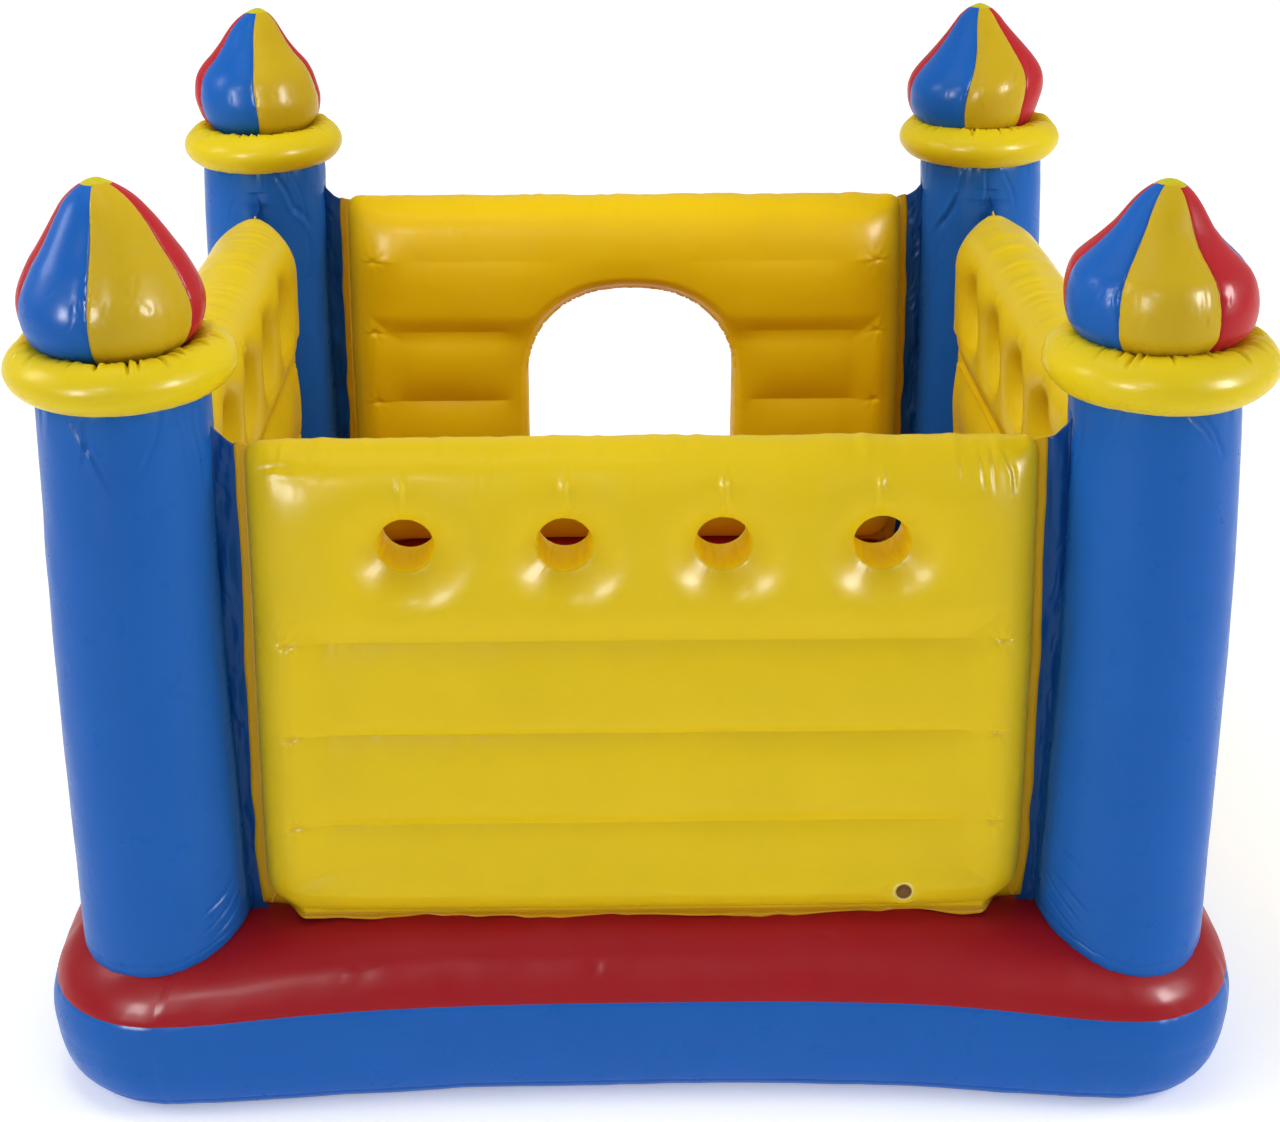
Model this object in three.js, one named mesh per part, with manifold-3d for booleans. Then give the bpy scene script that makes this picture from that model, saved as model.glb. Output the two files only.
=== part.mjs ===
// Inflatable castle bounce house: four welded-vinyl walls between four towers
// on a ring base with a quilted jump floor. Millimetres, +Z up, origin on the
// ground at the centre of the base. The wall with the low valve faces -Y and
// the wall with the arched doorway faces +Y.
import * as THREE from "three";
import { mergeVertices } from "three/addons/utils/BufferGeometryUtils.js";
import Module from "manifold-3d";

const wasm = await Module();
wasm.setup();

// ---------------------------------------------------------------- dimensions
const SKIN = 2.0;            // modelled gauge of every vinyl skin
const GAP = 0.3;             // clearance between skins that are welded together

const TOWER_AT = 695;        // tower centres, +-x and +-y
const TOWER_R_FOOT = 124;
const TOWER_R_TOP = 116;
const TOWER_TOP = 1068.6;
const TOWER_FOOT_CUT = 150;  // tubes start here and are trimmed by the base

const BASE_EDGE = 850;       // half width at the middle of a side
const BASE_LOBE = 25;        // extra half width at the corner lobes
const BASE_INNER = 600;      // half width of the inner edge of the base ring
const BASE_INNER_R = 60;
const BASE_CORNER_DROP = 0.08;
const FLOOR_TOP = 200;
const WEB_Y = [-360, -120, 120, 360];

// cross-section of the base ring: share of the ring's width from its inner
// edge, and height
const RING_SKIRT = [[0.864, 2.3], [0.932, 18], [0.98, 56], [1, 104], [0.978, 170]];
const RING_TOP = [[0.93, 202], [0.84, 231], [0.66, 257], [0.40, 268], [0.16, 257], [0, 214]];

const COLLAR_RING_R = 120;   // radius of the collar's centre line
const COLLAR_TUBE_R = 34;
const COLLAR_Z = 1103;
const DOME_TOP = 1350;
const DOME = [[84, 1122], [95, 1137], [118, 1163], [126, 1192], [119, 1230], [98, 1265], [62, 1304], [26, 1334]];

const WALL_BOTTOM = 271;     // lower edge of the wall's weld strip
const WALL_TOP = 985;
const WALL_END = 552;        // half length over the weld strips
const STRIP = 20;            // width of the weld strip at the ends
const HEM = 14;              // width of the weld strip at the bottom
const WEB_HALF = 61;         // half depth of the wall where a web ties it
const LOBE_HALF = 80;        // half depth at the middle of a quilted band
const TOP_HALF = 84;         // half depth of the tall top chamber
const WEBS_PORT_WALL = [420, 567, 710];
const WEBS_ARCH_WALL = [444, 587, 730, 873];
const WEB_REACH = 480;       // half length of a full web

const PORT_X = [-322, -107, 107, 322];
const PORT_Z = 848;
const PORT_R = 39;
const ARCH_HALF = 200;
const ARCH_SPRING = 612;
const ARCH_SILL = 400;       // the lowest quilted band runs on below the doorway

// valves: hole, stem, bore, lip, pad, plug cap, plug pin
const SMALL_VALVE = { hole: 9.2, stem: 8.7, bore: 6, lip: 11, pad: 15, cap: 7.6, pin: 5.2, pinDeep: 1.4, stemDeep: 16, hinge: 11.7, tab: 4 };
const LARGE_VALVE = { hole: 20.8, stem: 20.2, bore: 15, lip: 24, pad: 30, cap: 17, pin: 13.6, pinDeep: 3.0, stemDeep: 20, hinge: 24.8, tab: 8 };
const WALL_VALVE_AT = { x: 380, z: 311 };
const BASE_VALVE_AT = { x: -350, z: 100 };
const BASE_VALVE_FACE = 861;  // y of the large valve's pad
const FLOOR_VALVE_AT = { x: -430, y: 430 };

// ------------------------------------------------------------------- colours
const colour = (r, g, b, rough) => new THREE.MeshStandardMaterial({ color: new THREE.Color(r, g, b), roughness: rough, metalness: 0 });
const BLUE = colour(0.02, 0.13, 0.45, 0.35);
const YELLOW = colour(0.78, 0.55, 0.02, 0.32);
const RED = colour(0.36, 0.01, 0.02, 0.35);
const CLEAR = colour(0.75, 0.72, 0.6, 0.25);
const GREY = colour(0.08, 0.1, 0.16, 0.5);

// ------------------------------------------------------------------- helpers
const castle = new THREE.Group();

function add(name, geometry, material, matrix = null) {
  const mesh = new THREE.Mesh(geometry, material);
  mesh.name = name;
  if (matrix) mesh.applyMatrix4(matrix);
  castle.add(mesh);
  return mesh;
}

function welded(geometry) {
  const g = geometry.clone();
  for (const key of Object.keys(g.attributes)) if (key !== "position") g.deleteAttribute(key);
  return mergeVertices(g, 1e-4);
}

function toSolid(geometry) {
  const g = welded(geometry);
  return new wasm.Manifold(new wasm.Mesh({
    numProp: 3,
    vertProperties: new Float32Array(g.attributes.position.array),
    triVerts: new Uint32Array(g.index.array),
  }));
}

function fromSolid(solid) {
  const m = solid.getMesh();
  const g = new THREE.BufferGeometry();
  const pos = new Float32Array(m.numVert * 3);
  for (let i = 0; i < m.numVert; i++) for (let k = 0; k < 3; k++) pos[3 * i + k] = m.vertProperties[m.numProp * i + k];
  g.setAttribute("position", new THREE.BufferAttribute(pos, 3));
  g.setIndex(new THREE.BufferAttribute(new Uint32Array(m.triVerts), 1));
  g.computeVertexNormals();
  return g;
}

// closed sheet between two grids of points; rows run along j and the sheet may
// close on itself along i (a ring)
function sheet(front, back, ring) {
  const ni = front.length, nj = front[0].length;
  const pts = [];
  for (const grid of [front, back]) for (const row of grid) for (const p of row) pts.push(...p);
  const F = (i, j) => (i % ni) * nj + j;
  const B = (i, j) => ni * nj + (i % ni) * nj + j;
  const idx = [];
  const quad = (a, b, c, d) => idx.push(a, b, c, a, c, d);
  const iEnd = ring ? ni : ni - 1;
  for (let i = 0; i < iEnd; i++) for (let j = 0; j < nj - 1; j++) {
    quad(F(i, j), F(i + 1, j), F(i + 1, j + 1), F(i, j + 1));
    quad(B(i, j), B(i, j + 1), B(i + 1, j + 1), B(i + 1, j));
  }
  for (let i = 0; i < iEnd; i++) {
    quad(F(i, 0), B(i, 0), B(i + 1, 0), F(i + 1, 0));
    quad(F(i, nj - 1), F(i + 1, nj - 1), B(i + 1, nj - 1), B(i, nj - 1));
  }
  if (!ring) for (let j = 0; j < nj - 1; j++) {
    quad(F(0, j), F(0, j + 1), B(0, j + 1), B(0, j));
    quad(F(ni - 1, j), B(ni - 1, j), B(ni - 1, j + 1), F(ni - 1, j + 1));
  }
  const g = new THREE.BufferGeometry();
  g.setAttribute("position", new THREE.Float32BufferAttribute(pts, 3));
  g.setIndex(idx);
  // turn the faces outwards
  let vol = 0;
  const P = (k) => [pts[3 * k], pts[3 * k + 1], pts[3 * k + 2]];
  for (let t = 0; t < idx.length; t += 3) {
    const [a, b, c] = [P(idx[t]), P(idx[t + 1]), P(idx[t + 2])];
    vol += a[0] * (b[1] * c[2] - b[2] * c[1]) - a[1] * (b[0] * c[2] - b[2] * c[0]) + a[2] * (b[0] * c[1] - b[1] * c[0]);
  }
  if (vol < 0) for (let t = 0; t < idx.length; t += 3) { const s = idx[t]; idx[t] = idx[t + 1]; idx[t + 1] = s; g.setIndex(idx); }
  g.computeVertexNormals();
  return g;
}

// lathe about +Z of a closed profile of [radius, height] points
function turned(profile, segments = 16, x = 0, y = 0) {
  const pts = profile.map(([r, z]) => new THREE.Vector2(r, z));
  const onAxis = profile[0][0] === 0 && profile[profile.length - 1][0] === 0;
  if (!onAxis) pts.push(pts[0].clone());
  const g = new THREE.LatheGeometry(pts, segments);
  g.rotateX(Math.PI / 2);
  g.translate(x, y, 0);
  const w = welded(g);
  // drop the empty triangles at the axis, and turn the faces outwards
  const src = w.index.array, keep = [];
  for (let t = 0; t < src.length; t += 3) if (src[t] !== src[t + 1] && src[t + 1] !== src[t + 2] && src[t] !== src[t + 2]) keep.push(src[t], src[t + 1], src[t + 2]);
  const q = w.attributes.position.array;
  let vol = 0;
  for (let t = 0; t < keep.length; t += 3) {
    const [a, b, c] = [keep[t], keep[t + 1], keep[t + 2]].map((k) => [q[3 * k], q[3 * k + 1], q[3 * k + 2]]);
    vol += a[0] * (b[1] * c[2] - b[2] * c[1]) - a[1] * (b[0] * c[2] - b[2] * c[0]) + a[2] * (b[0] * c[1] - b[1] * c[0]);
  }
  if (vol < 0) for (let t = 0; t < keep.length; t += 3) { const s = keep[t]; keep[t] = keep[t + 1]; keep[t + 1] = s; }
  w.setIndex(keep);
  w.computeVertexNormals();
  return w;
}

// both faces of a thin skin that follows a profile: the profile itself and
// the same line moved by the gauge to its right-hand side
function offsetLine(line, by) {
  const out = [];
  for (let i = 0; i < line.length; i++) {
    const a = line[Math.max(0, i - 1)], b = line[Math.min(line.length - 1, i + 1)];
    const dx = b[0] - a[0], dz = b[1] - a[1], l = Math.hypot(dx, dz);
    out.push([line[i][0] + by * dz / l, line[i][1] - by * dx / l]);
  }
  return out;
}

// ---------------------------------------------------------------------- base
const ease = (t) => t * t * (3 - 2 * t);
const lobe = (x) => ease(Math.min(1, Math.pow(Math.abs(x) / TOWER_AT, 1.5)));

// stations round the base: outer point, inner point, and share of the lobe
function stations() {
  const out = [];
  const edge = [-0.66, 0, 0.66];
  const cornerSteps = 4;
  for (let side = 0; side < 4; side++) {
    const turn = (p) => {
      let [x, y] = p;
      for (let k = 0; k < side; k++) [x, y] = [-y, x];
      return [x, y];
    };
    // the side runs along +x at y = -edge, then the corner at (+, -)
    for (const s of edge) {
      const x = s * TOWER_AT, w = lobe(x);
      out.push({ o: turn([x, -(BASE_EDGE + BASE_LOBE * w)]), i: turn([s * (BASE_INNER - BASE_INNER_R), -BASE_INNER]), w });
    }
    const r = BASE_EDGE + BASE_LOBE - TOWER_AT;
    for (let k = 0; k <= cornerSteps; k++) {
      const a = -Math.PI / 2 + (Math.PI / 2) * k / cornerSteps;
      const c = BASE_INNER - BASE_INNER_R;
      out.push({
        o: turn([TOWER_AT + r * Math.cos(a), -TOWER_AT + r * Math.sin(a)]),
        i: turn([c + BASE_INNER_R * Math.cos(a), -c + BASE_INNER_R * Math.sin(a)]),
        w: 1,
      });
    }
  }
  return out;
}
const RING = stations();

function ringPoint(st, n, z) {
  const dx = st.o[0] - st.i[0], dy = st.o[1] - st.i[1], l = Math.hypot(dx, dy);
  return [st.i[0] + dx / l * n, st.i[1] + dy / l * n, z];
}
const ringWidth = (st) => Math.hypot(st.o[0] - st.i[0], st.o[1] - st.i[1]);
const ringZ = (st, z) => z * (1 - BASE_CORNER_DROP * Math.pow(st.w, 3) * Math.min(1, z / 160));

function ringSkins(st) {
  const all = [...RING_SKIRT, ...RING_TOP].map(([t, z]) => [t * ringWidth(st), ringZ(st, z)]);
  const inner = offsetLine(all, -SKIN);
  const k = RING_SKIRT.length - 1;
  // leave the clearance on both sides of the seam between skirt and top
  const a = all[k], b = all[k + 1], l = Math.hypot(b[0] - a[0], b[1] - a[1]);
  const t = [(b[0] - a[0]) / l * GAP, (b[1] - a[1]) / l * GAP];
  const shift = (p) => [p[0] + t[0], p[1] + t[1]];
  const topEdgeIn = [inner[inner.length - 1][0], inner[inner.length - 1][1]];
  return {
    skirtOut: all.slice(0, k + 1), skirtIn: inner.slice(0, k + 1),
    topOut: [shift(a), ...all.slice(k + 1)], topIn: [shift(inner[k]), ...inner.slice(k + 1, -1), topEdgeIn],
  };
}
const skins = RING.map(ringSkins);
const rows = (key) => RING.map((st, i) => skins[i][key].map(([n, z]) => ringPoint(st, n, z)));

// flat sheet of the ground weld, one station inside the skirt's foot
function plate(points, z0, z1) {
  const shape = new THREE.Shape(points.map(([x, y]) => new THREE.Vector2(x, y)));
  const g = new THREE.ExtrudeGeometry(shape, { depth: z1 - z0, bevelEnabled: false });
  g.translate(0, 0, z0);
  return g;
}

add("ground_sheet", plate(RING.map((st) => ringPoint(st, 0.87 * ringWidth(st), 0)), 0, SKIN), GREY);

// solid that fills the base up to its skin, used to trim what stands on it
const ringFill = (() => {
  const line = (st, lift) => [...RING_SKIRT.slice(-3), ...RING_TOP].map(([t, z]) => ringPoint(st, t * ringWidth(st), ringZ(st, z) + lift));
  const front = RING.map((st) => line(st, GAP));
  const back = RING.map((st) => line(st, 0).map(([x, y]) => [x, y, 20]));
  return toSolid(sheet(front, back, true));
})();

// ------------------------------------------------------------------- valves
// local frame: origin at the face of the pad, +Z outwards, hinge towards -X
function frameAt(origin, xAxis, zAxis) {
  const x = new THREE.Vector3(...xAxis), z = new THREE.Vector3(...zAxis);
  const y = new THREE.Vector3().crossVectors(z, x);
  return new THREE.Matrix4().makeBasis(x, y, z).setPosition(...origin);
}

function valvePad(v, deep) { return toSolid(turned([[0, -deep], [v.pad, -deep], [v.pad, 0], [0, 0]], 16)); }
function valveHole(v, deep) { return toSolid(turned([[0, -deep], [v.hole, -deep], [v.hole, 5], [0, 5]], 16)); }

function addValve(prefix, v, matrix) {
  const stem = turned([
    [v.bore, -v.stemDeep], [v.stem, -v.stemDeep], [v.stem, GAP], [v.lip, GAP], [v.lip, 1.5], [v.bore, 1.5],
  ], 14);
  add(prefix + "_stem", stem, CLEAR, matrix);
  const cap = toSolid(turned([[0, -v.pinDeep], [v.pin, -v.pinDeep], [v.pin, 1.8], [v.cap, 1.8], [v.cap, 3.0], [0, 3.0]], 14));
  const tabLength = v.hinge + 0.6 - (v.cap - 1.5);
  const tab = new THREE.BoxGeometry(tabLength, v.tab, 0.8);
  tab.translate(-(v.hinge + 0.6) + tabLength / 2, 0, 2.2);
  add(prefix + "_plug", fromSolid(cap.add(toSolid(tab))), CLEAR, matrix);
}

// --------------------------------------------------- skirt, top skin, floor
const baseValveFrame = frameAt([BASE_VALVE_AT.x, BASE_VALVE_FACE, BASE_VALVE_AT.z], [0, 0, -1], [0, 1, 0]);
{
  const skirt = toSolid(sheet(rows("skirtOut"), rows("skirtIn"), true));
  const pad = valvePad(LARGE_VALVE, 10).transform(baseValveFrame.elements);
  const hole = valveHole(LARGE_VALVE, 40).transform(baseValveFrame.elements);
  add("base_skirt", fromSolid(skirt.add(pad).subtract(hole)), BLUE);
}
add("base_top", sheet(rows("topOut"), rows("topIn"), true), RED);

{
  const top = 0.94 * 214 - SKIN - 2 * GAP;
  const at = (st, n, z) => ringPoint(st, n, z);
  const z0 = SKIN + GAP;
  const front = RING.map((st) => [at(st, GAP + SKIN, z0), at(st, GAP + SKIN, Math.min(top, ringZ(st, 214) - SKIN - 2 * GAP))]);
  const back = RING.map((st) => [at(st, GAP, z0), at(st, GAP, Math.min(top, ringZ(st, 214) - SKIN - 2 * GAP))]);
  add("base_inner_curtain", sheet(front, back, true), RED);
}
const floorValveFrame = frameAt([FLOOR_VALVE_AT.x, FLOOR_VALVE_AT.y, FLOOR_TOP - 4], [1, 0, 0], [0, 0, 1]);
const FLOOR_Z = FLOOR_TOP - 6;
{
  const outline = RING.map((st) => ringPoint(st, 0, 0));
  const floor = toSolid(plate(outline, FLOOR_Z - SKIN, FLOOR_Z));
  const pad = valvePad(SMALL_VALVE, 4).transform(floorValveFrame.elements);
  const hole = valveHole(SMALL_VALVE, 40).transform(floorValveFrame.elements);
  add("jump_floor", fromSolid(floor.add(pad).subtract(hole)), RED);
}
WEB_Y.forEach((y, k) => {
  const z0 = SKIN + GAP, z1 = FLOOR_Z - SKIN - GAP;
  const g = new THREE.BoxGeometry(2 * (BASE_INNER - 12), SKIN, z1 - z0);
  g.translate(0, y, (z0 + z1) / 2);
  add("floor_web_" + (k + 1), g, RED);
});

// ------------------------------------------------- towers, collars and domes
const corners = [["front_left", -1, -1], ["front_right", 1, -1], ["back_left", -1, 1], ["back_right", 1, 1]];

function towerShell(sx, sy) {
  const x = sx * TOWER_AT, y = sy * TOWER_AT;
  const rAt = (z) => TOWER_R_FOOT + (TOWER_R_TOP - TOWER_R_FOOT) * (z - 220) / (TOWER_TOP - 220);
  const R0 = rAt(TOWER_FOOT_CUT);
  // open below, closed above by a cap with an air passage into the dome
  let tube = toSolid(turned([
    [R0 - SKIN, TOWER_FOOT_CUT], [R0, TOWER_FOOT_CUT], [TOWER_R_TOP, TOWER_TOP],
    [18, TOWER_TOP], [18, TOWER_TOP - SKIN], [TOWER_R_TOP - SKIN, TOWER_TOP - SKIN],
  ], 16, x, y));
  // the two flaps that reach to the weld strips of the neighbouring walls
  const root = TOWER_AT - TOWER_R_FOOT + 6;
  for (const along of ["x", "y"]) {
    const s = new THREE.Shape([
      new THREE.Vector2(WALL_END + GAP, 200), new THREE.Vector2(root + 5, 200), new THREE.Vector2(root + 7, 1030),
      new THREE.Vector2(root - 6, 1000), new THREE.Vector2(root - 14, 978), new THREE.Vector2(WALL_END + GAP, 968),
    ]);
    const g = new THREE.ExtrudeGeometry(s, { depth: SKIN, bevelEnabled: false });
    g.translate(0, 0, -SKIN / 2);
    g.rotateX(Math.PI / 2); // shape x stays x, shape y becomes z
    if (along === "x") { if (sx < 0) g.rotateZ(Math.PI); g.translate(0, y, 0); }
    else { g.rotateZ(sy < 0 ? -Math.PI / 2 : Math.PI / 2); g.translate(x, 0, 0); }
    tube = tube.add(toSolid(g));
  }
  return tube.subtract(ringFill);
}

for (const [name, sx, sy] of corners) {
  add("tower_" + name, fromSolid(towerShell(sx, sy)), BLUE);
}

function collarProfile() {
  // C section, open towards the axis
  const outer = [], inner = [];
  const open = 0.42, steps = 6;
  for (let k = 0; k <= steps; k++) {
    const a = -Math.PI + open + (2 * Math.PI - 2 * open) * k / steps;
    outer.push([COLLAR_RING_R + COLLAR_TUBE_R * Math.cos(a), COLLAR_Z + COLLAR_TUBE_R * Math.sin(a)]);
    inner.push([COLLAR_RING_R + (COLLAR_TUBE_R - SKIN) * Math.cos(a), COLLAR_Z + (COLLAR_TUBE_R - SKIN) * Math.sin(a)]);
  }
  return [...outer, ...inner.reverse()];
}
for (const [name, sx, sy] of corners) {
  add("collar_" + name, turned(collarProfile(), 16, sx * TOWER_AT, sy * TOWER_AT), YELLOW);
}
for (const [name, sx, sy] of corners) {
  const outer = [...DOME, [0, DOME_TOP]];
  const inner = offsetLine(DOME, -SKIN).map(([r, z], k) => (k === 0 ? [DOME[0][0] - SKIN, DOME[0][1]] : [r, z]));
  const profile = [[0, DOME_TOP - SKIN], ...inner.reverse(), ...outer];
  add("dome_" + name, turned(profile, 16, sx * TOWER_AT, sy * TOWER_AT), YELLOW);
}

// --------------------------------------------------------------------- walls
const COLS = [-WALL_END, -WALL_END + STRIP, -518, -466, 466, 518, WALL_END - STRIP, WALL_END];
const round = (d, reach) => (d <= 0 ? 0 : d >= reach ? 1 : Math.sqrt(1 - Math.pow(1 - d / reach, 2)));

// half depth of a wall at a height: arcs between the webs, closed at both ends
function halfDepth(z, webs) {
  const stops = [WALL_BOTTOM + HEM, ...webs, WALL_TOP];
  let k = 0;
  while (k < stops.length - 2 && z > stops[k + 1]) k++;
  const a = stops[k], b = stops[k + 1], s = (z - a) / (b - a);
  const full = b - a > 200 || b === WALL_TOP ? TOP_HALF : LOBE_HALF;
  const arc = WEB_HALF + (full - WEB_HALF) * 4 * s * (1 - s);
  if (k === 0) return z < (a + b) / 2 ? full * round(z - a, (b - a) / 2) : arc;
  if (k === stops.length - 2) return z > b - 75 ? Math.max(arc * 0, (TOP_HALF - 2) * round(b - z, 75)) : arc + (full - arc) * Math.min(1, Math.max(0, (z - a) / (b - 75 - a)));
  return arc;
}

function wallRows(webs) {
  const z = [WALL_BOTTOM, WALL_BOTTOM + HEM, 297, 349];
  const stops = [...webs];
  for (let k = 0; k < stops.length; k++) {
    z.push(stops[k]);
    if (k + 1 < stops.length) { z.push((stops[k] + stops[k + 1]) / 2); }
  }
  if (webs.length === 3) z.push(776, 848);
  z.push(916, 966, WALL_TOP);
  return z.sort((p, q) => p - q);
}

const depthAt = (u, z, webs) => halfDepth(z, webs) * round(WALL_END - STRIP - Math.abs(u), 77);

// skin of a wall that faces -Y, its strip lying on the plane y = 0
function wallSkin(webs) {
  const zs = wallRows(webs);
  const at = (u, z, off) => [u, -(GAP / 2 + off + depthAt(u, z, webs)), z];
  const front = COLS.map((u) => zs.map((z) => at(u, z, SKIN)));
  const back = COLS.map((u) => zs.map((z) => at(u, z, 0)));
  return toSolid(sheet(front, back, false));
}

function portTool(x, radius, y0, y1) {
  const g = new THREE.CylinderGeometry(radius, radius, y1 - y0, 10); // axis along Y
  g.translate(x, (y0 + y1) / 2, PORT_Z);
  return toSolid(g);
}
function archTool(half, y0, y1, below) {
  const s = new THREE.Shape();
  s.moveTo(-half, below);
  s.lineTo(half, below);
  s.lineTo(half, ARCH_SPRING);
  const n = 10;
  for (let k = 1; k < n; k++) s.lineTo(half * Math.cos(Math.PI * k / n), ARCH_SPRING + half * Math.sin(Math.PI * k / n));
  s.lineTo(-half, ARCH_SPRING);
  s.closePath();
  const g = new THREE.ExtrudeGeometry(s, { depth: y1 - y0, bevelEnabled: false });
  g.rotateX(Math.PI / 2);
  g.translate(0, y1, 0);
  return toSolid(g);
}

function placed(angle, x, y) {
  return new THREE.Matrix4().makeRotationZ(angle).setPosition(x, y, 0);
}

// each wall is made facing -Y, then turned into place
const walls = [
  { name: "front", at: placed(0, 0, -TOWER_AT), webs: WEBS_PORT_WALL, ports: true },
  { name: "left", at: placed(-Math.PI / 2, -TOWER_AT, 0), webs: WEBS_PORT_WALL, ports: true },
  { name: "right", at: placed(Math.PI / 2, TOWER_AT, 0), webs: WEBS_PORT_WALL, ports: true },
  { name: "back", at: placed(Math.PI, 0, TOWER_AT), webs: WEBS_ARCH_WALL, ports: false },
];
const turnRound = new THREE.Matrix4().makeRotationZ(Math.PI);
let wallValveFrame = null;

for (const wall of walls) {
  const skin = wallSkin(wall.webs);
  let outer = skin;
  let inner = skin.transform(turnRound.elements);
  if (wall.ports) {
    const linerHalf = TOP_HALF - 6;
    for (const x of PORT_X) {
      const hole = portTool(x, PORT_R, -130, 130);
      const sleeveHole = portTool(x, PORT_R + GAP, 0, 130);
      // the round sleeve of the port belongs to the outer skin
      const sleeve = portTool(x, PORT_R, -linerHalf - 6, linerHalf).subtract(portTool(x, PORT_R - SKIN, -130, 130));
      outer = outer.subtract(hole).add(sleeve);
      inner = inner.subtract(sleeveHole);
    }
  } else {
    outer = outer.subtract(archTool(ARCH_HALF + GAP, -130, 10, ARCH_SILL - GAP));
    inner = inner.subtract(archTool(ARCH_HALF + GAP, -10, 130, ARCH_SILL - GAP));
  }
  if (wall.name === "front") {
    const padY = -(depthAt(WALL_VALVE_AT.x, WALL_VALVE_AT.z + SMALL_VALVE.pad, wall.webs) + SKIN + 1.5);
    const local = frameAt([WALL_VALVE_AT.x, padY, WALL_VALVE_AT.z], [0, 0, -1], [0, -1, 0]);
    outer = outer.add(valvePad(SMALL_VALVE, 15).transform(local.elements)).subtract(valveHole(SMALL_VALVE, 50).transform(local.elements));
    wallValveFrame = wall.at.clone().multiply(local);
  }
  add(wall.name + "_wall_outer_skin", fromSolid(outer), YELLOW, wall.at);
  add(wall.name + "_wall_inner_skin", fromSolid(inner), YELLOW, wall.at);

  // webs: flat strips that tie the two skins along each crease
  const webShape = (z, u0, u1) => {
    const us = [u0, ...COLS.filter((u) => u > u0 + 1 && u < u1 - 1), u1];
    const half = (u) => {
      // depth of the faceted skin between two columns
      let k = 0;
      while (k < COLS.length - 2 && u > COLS[k + 1]) k++;
      const t = (u - COLS[k]) / (COLS[k + 1] - COLS[k]);
      const d = depthAt(COLS[k], z, wall.webs) * (1 - t) + depthAt(COLS[k + 1], z, wall.webs) * t;
      return Math.max(4, d - GAP);
    };
    const s = new THREE.Shape([
      ...us.map((u) => new THREE.Vector2(u, -half(u))),
      ...us.slice().reverse().map((u) => new THREE.Vector2(u, half(u))),
    ]);
    const g = new THREE.ExtrudeGeometry(s, { depth: SKIN, bevelEnabled: false });
    g.translate(0, 0, z - SKIN / 2);
    return g;
  };
  wall.webs.forEach((z, k) => {
    if (wall.ports || z > ARCH_SPRING + ARCH_HALF) {
      add(wall.name + "_wall_web_" + (k + 1), webShape(z, -WEB_REACH, WEB_REACH), YELLOW, wall.at);
    } else {
      // turned half round, the wall's -x side is the object's +x side
      add(wall.name + "_wall_web_right_" + (k + 1), webShape(z, -WEB_REACH, -ARCH_HALF - 2), YELLOW, wall.at);
      add(wall.name + "_wall_web_left_" + (k + 1), webShape(z, ARCH_HALF + 2, WEB_REACH), YELLOW, wall.at);
    }
  });
  if (!wall.ports) {
    const liner = archTool(ARCH_HALF, -LOBE_HALF + 6, LOBE_HALF - 6, ARCH_SILL)
      .subtract(archTool(ARCH_HALF - SKIN, -130, 130, ARCH_SILL + SKIN));
    add("back_wall_arch_liner", fromSolid(liner), YELLOW, wall.at);
  }
}

// -------------------------------------------------------------------- valves
addValve("front_wall_valve", SMALL_VALVE, wallValveFrame);
addValve("floor_valve", SMALL_VALVE, floorValveFrame);
addValve("base_valve", LARGE_VALVE, baseValveFrame);
{
  // one-way flap at the inner end of the large valve's bore
  const flap = turned([[0, -14.0], [13.2, -14.0], [13.2, -12.8], [0, -12.8]], 16);
  add("base_valve_check_flap", flap, CLEAR, baseValveFrame);
}

export default castle;
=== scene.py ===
"""Looks of the inflatable castle bounce house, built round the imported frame.

Lengths are in metres, in the row frame: origin on the ground at the centre of
the base, +Z up, -Y towards the wall that carries the inflation valve.
"""
import math

import bpy
import numpy as np
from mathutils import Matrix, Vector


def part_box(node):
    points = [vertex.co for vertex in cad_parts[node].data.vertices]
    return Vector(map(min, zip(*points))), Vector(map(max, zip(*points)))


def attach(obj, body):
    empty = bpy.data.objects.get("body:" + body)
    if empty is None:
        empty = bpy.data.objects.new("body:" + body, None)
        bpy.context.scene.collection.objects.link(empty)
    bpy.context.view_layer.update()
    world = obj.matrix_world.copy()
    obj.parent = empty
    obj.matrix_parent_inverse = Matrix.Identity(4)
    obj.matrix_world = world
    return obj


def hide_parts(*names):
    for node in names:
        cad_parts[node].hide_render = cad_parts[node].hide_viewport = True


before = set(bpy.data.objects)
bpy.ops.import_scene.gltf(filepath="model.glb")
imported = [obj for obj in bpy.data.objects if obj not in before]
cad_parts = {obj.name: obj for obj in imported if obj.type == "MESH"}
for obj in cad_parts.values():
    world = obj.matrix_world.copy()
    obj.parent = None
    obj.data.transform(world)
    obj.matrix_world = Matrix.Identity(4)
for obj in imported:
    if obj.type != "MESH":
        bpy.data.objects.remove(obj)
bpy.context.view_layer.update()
RNG = np.random.RandomState(20261)

# ------------------------------------------------------------------ dimensions
TOWER = 0.695
SEAM_TOP = 0.985
HEM_Z = 0.252
WALL_IN = 0.537       # puffed part of a wall ends here
WALL_OUT = 0.552      # outer edge of its weld strip
PUFF_Z0 = 0.267
PORT_XS = (-0.3219, -0.1073, 0.1073, 0.3219)
PORT_Z = 0.848
PORT_R = 0.039
PORT_HALF = 0.043     # half length of a port's sleeve
WEB_HALF = 0.0615
ARCH_R = 0.200
ARCH_SPRING = 0.612
ARCH_SILL = 0.400


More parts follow.
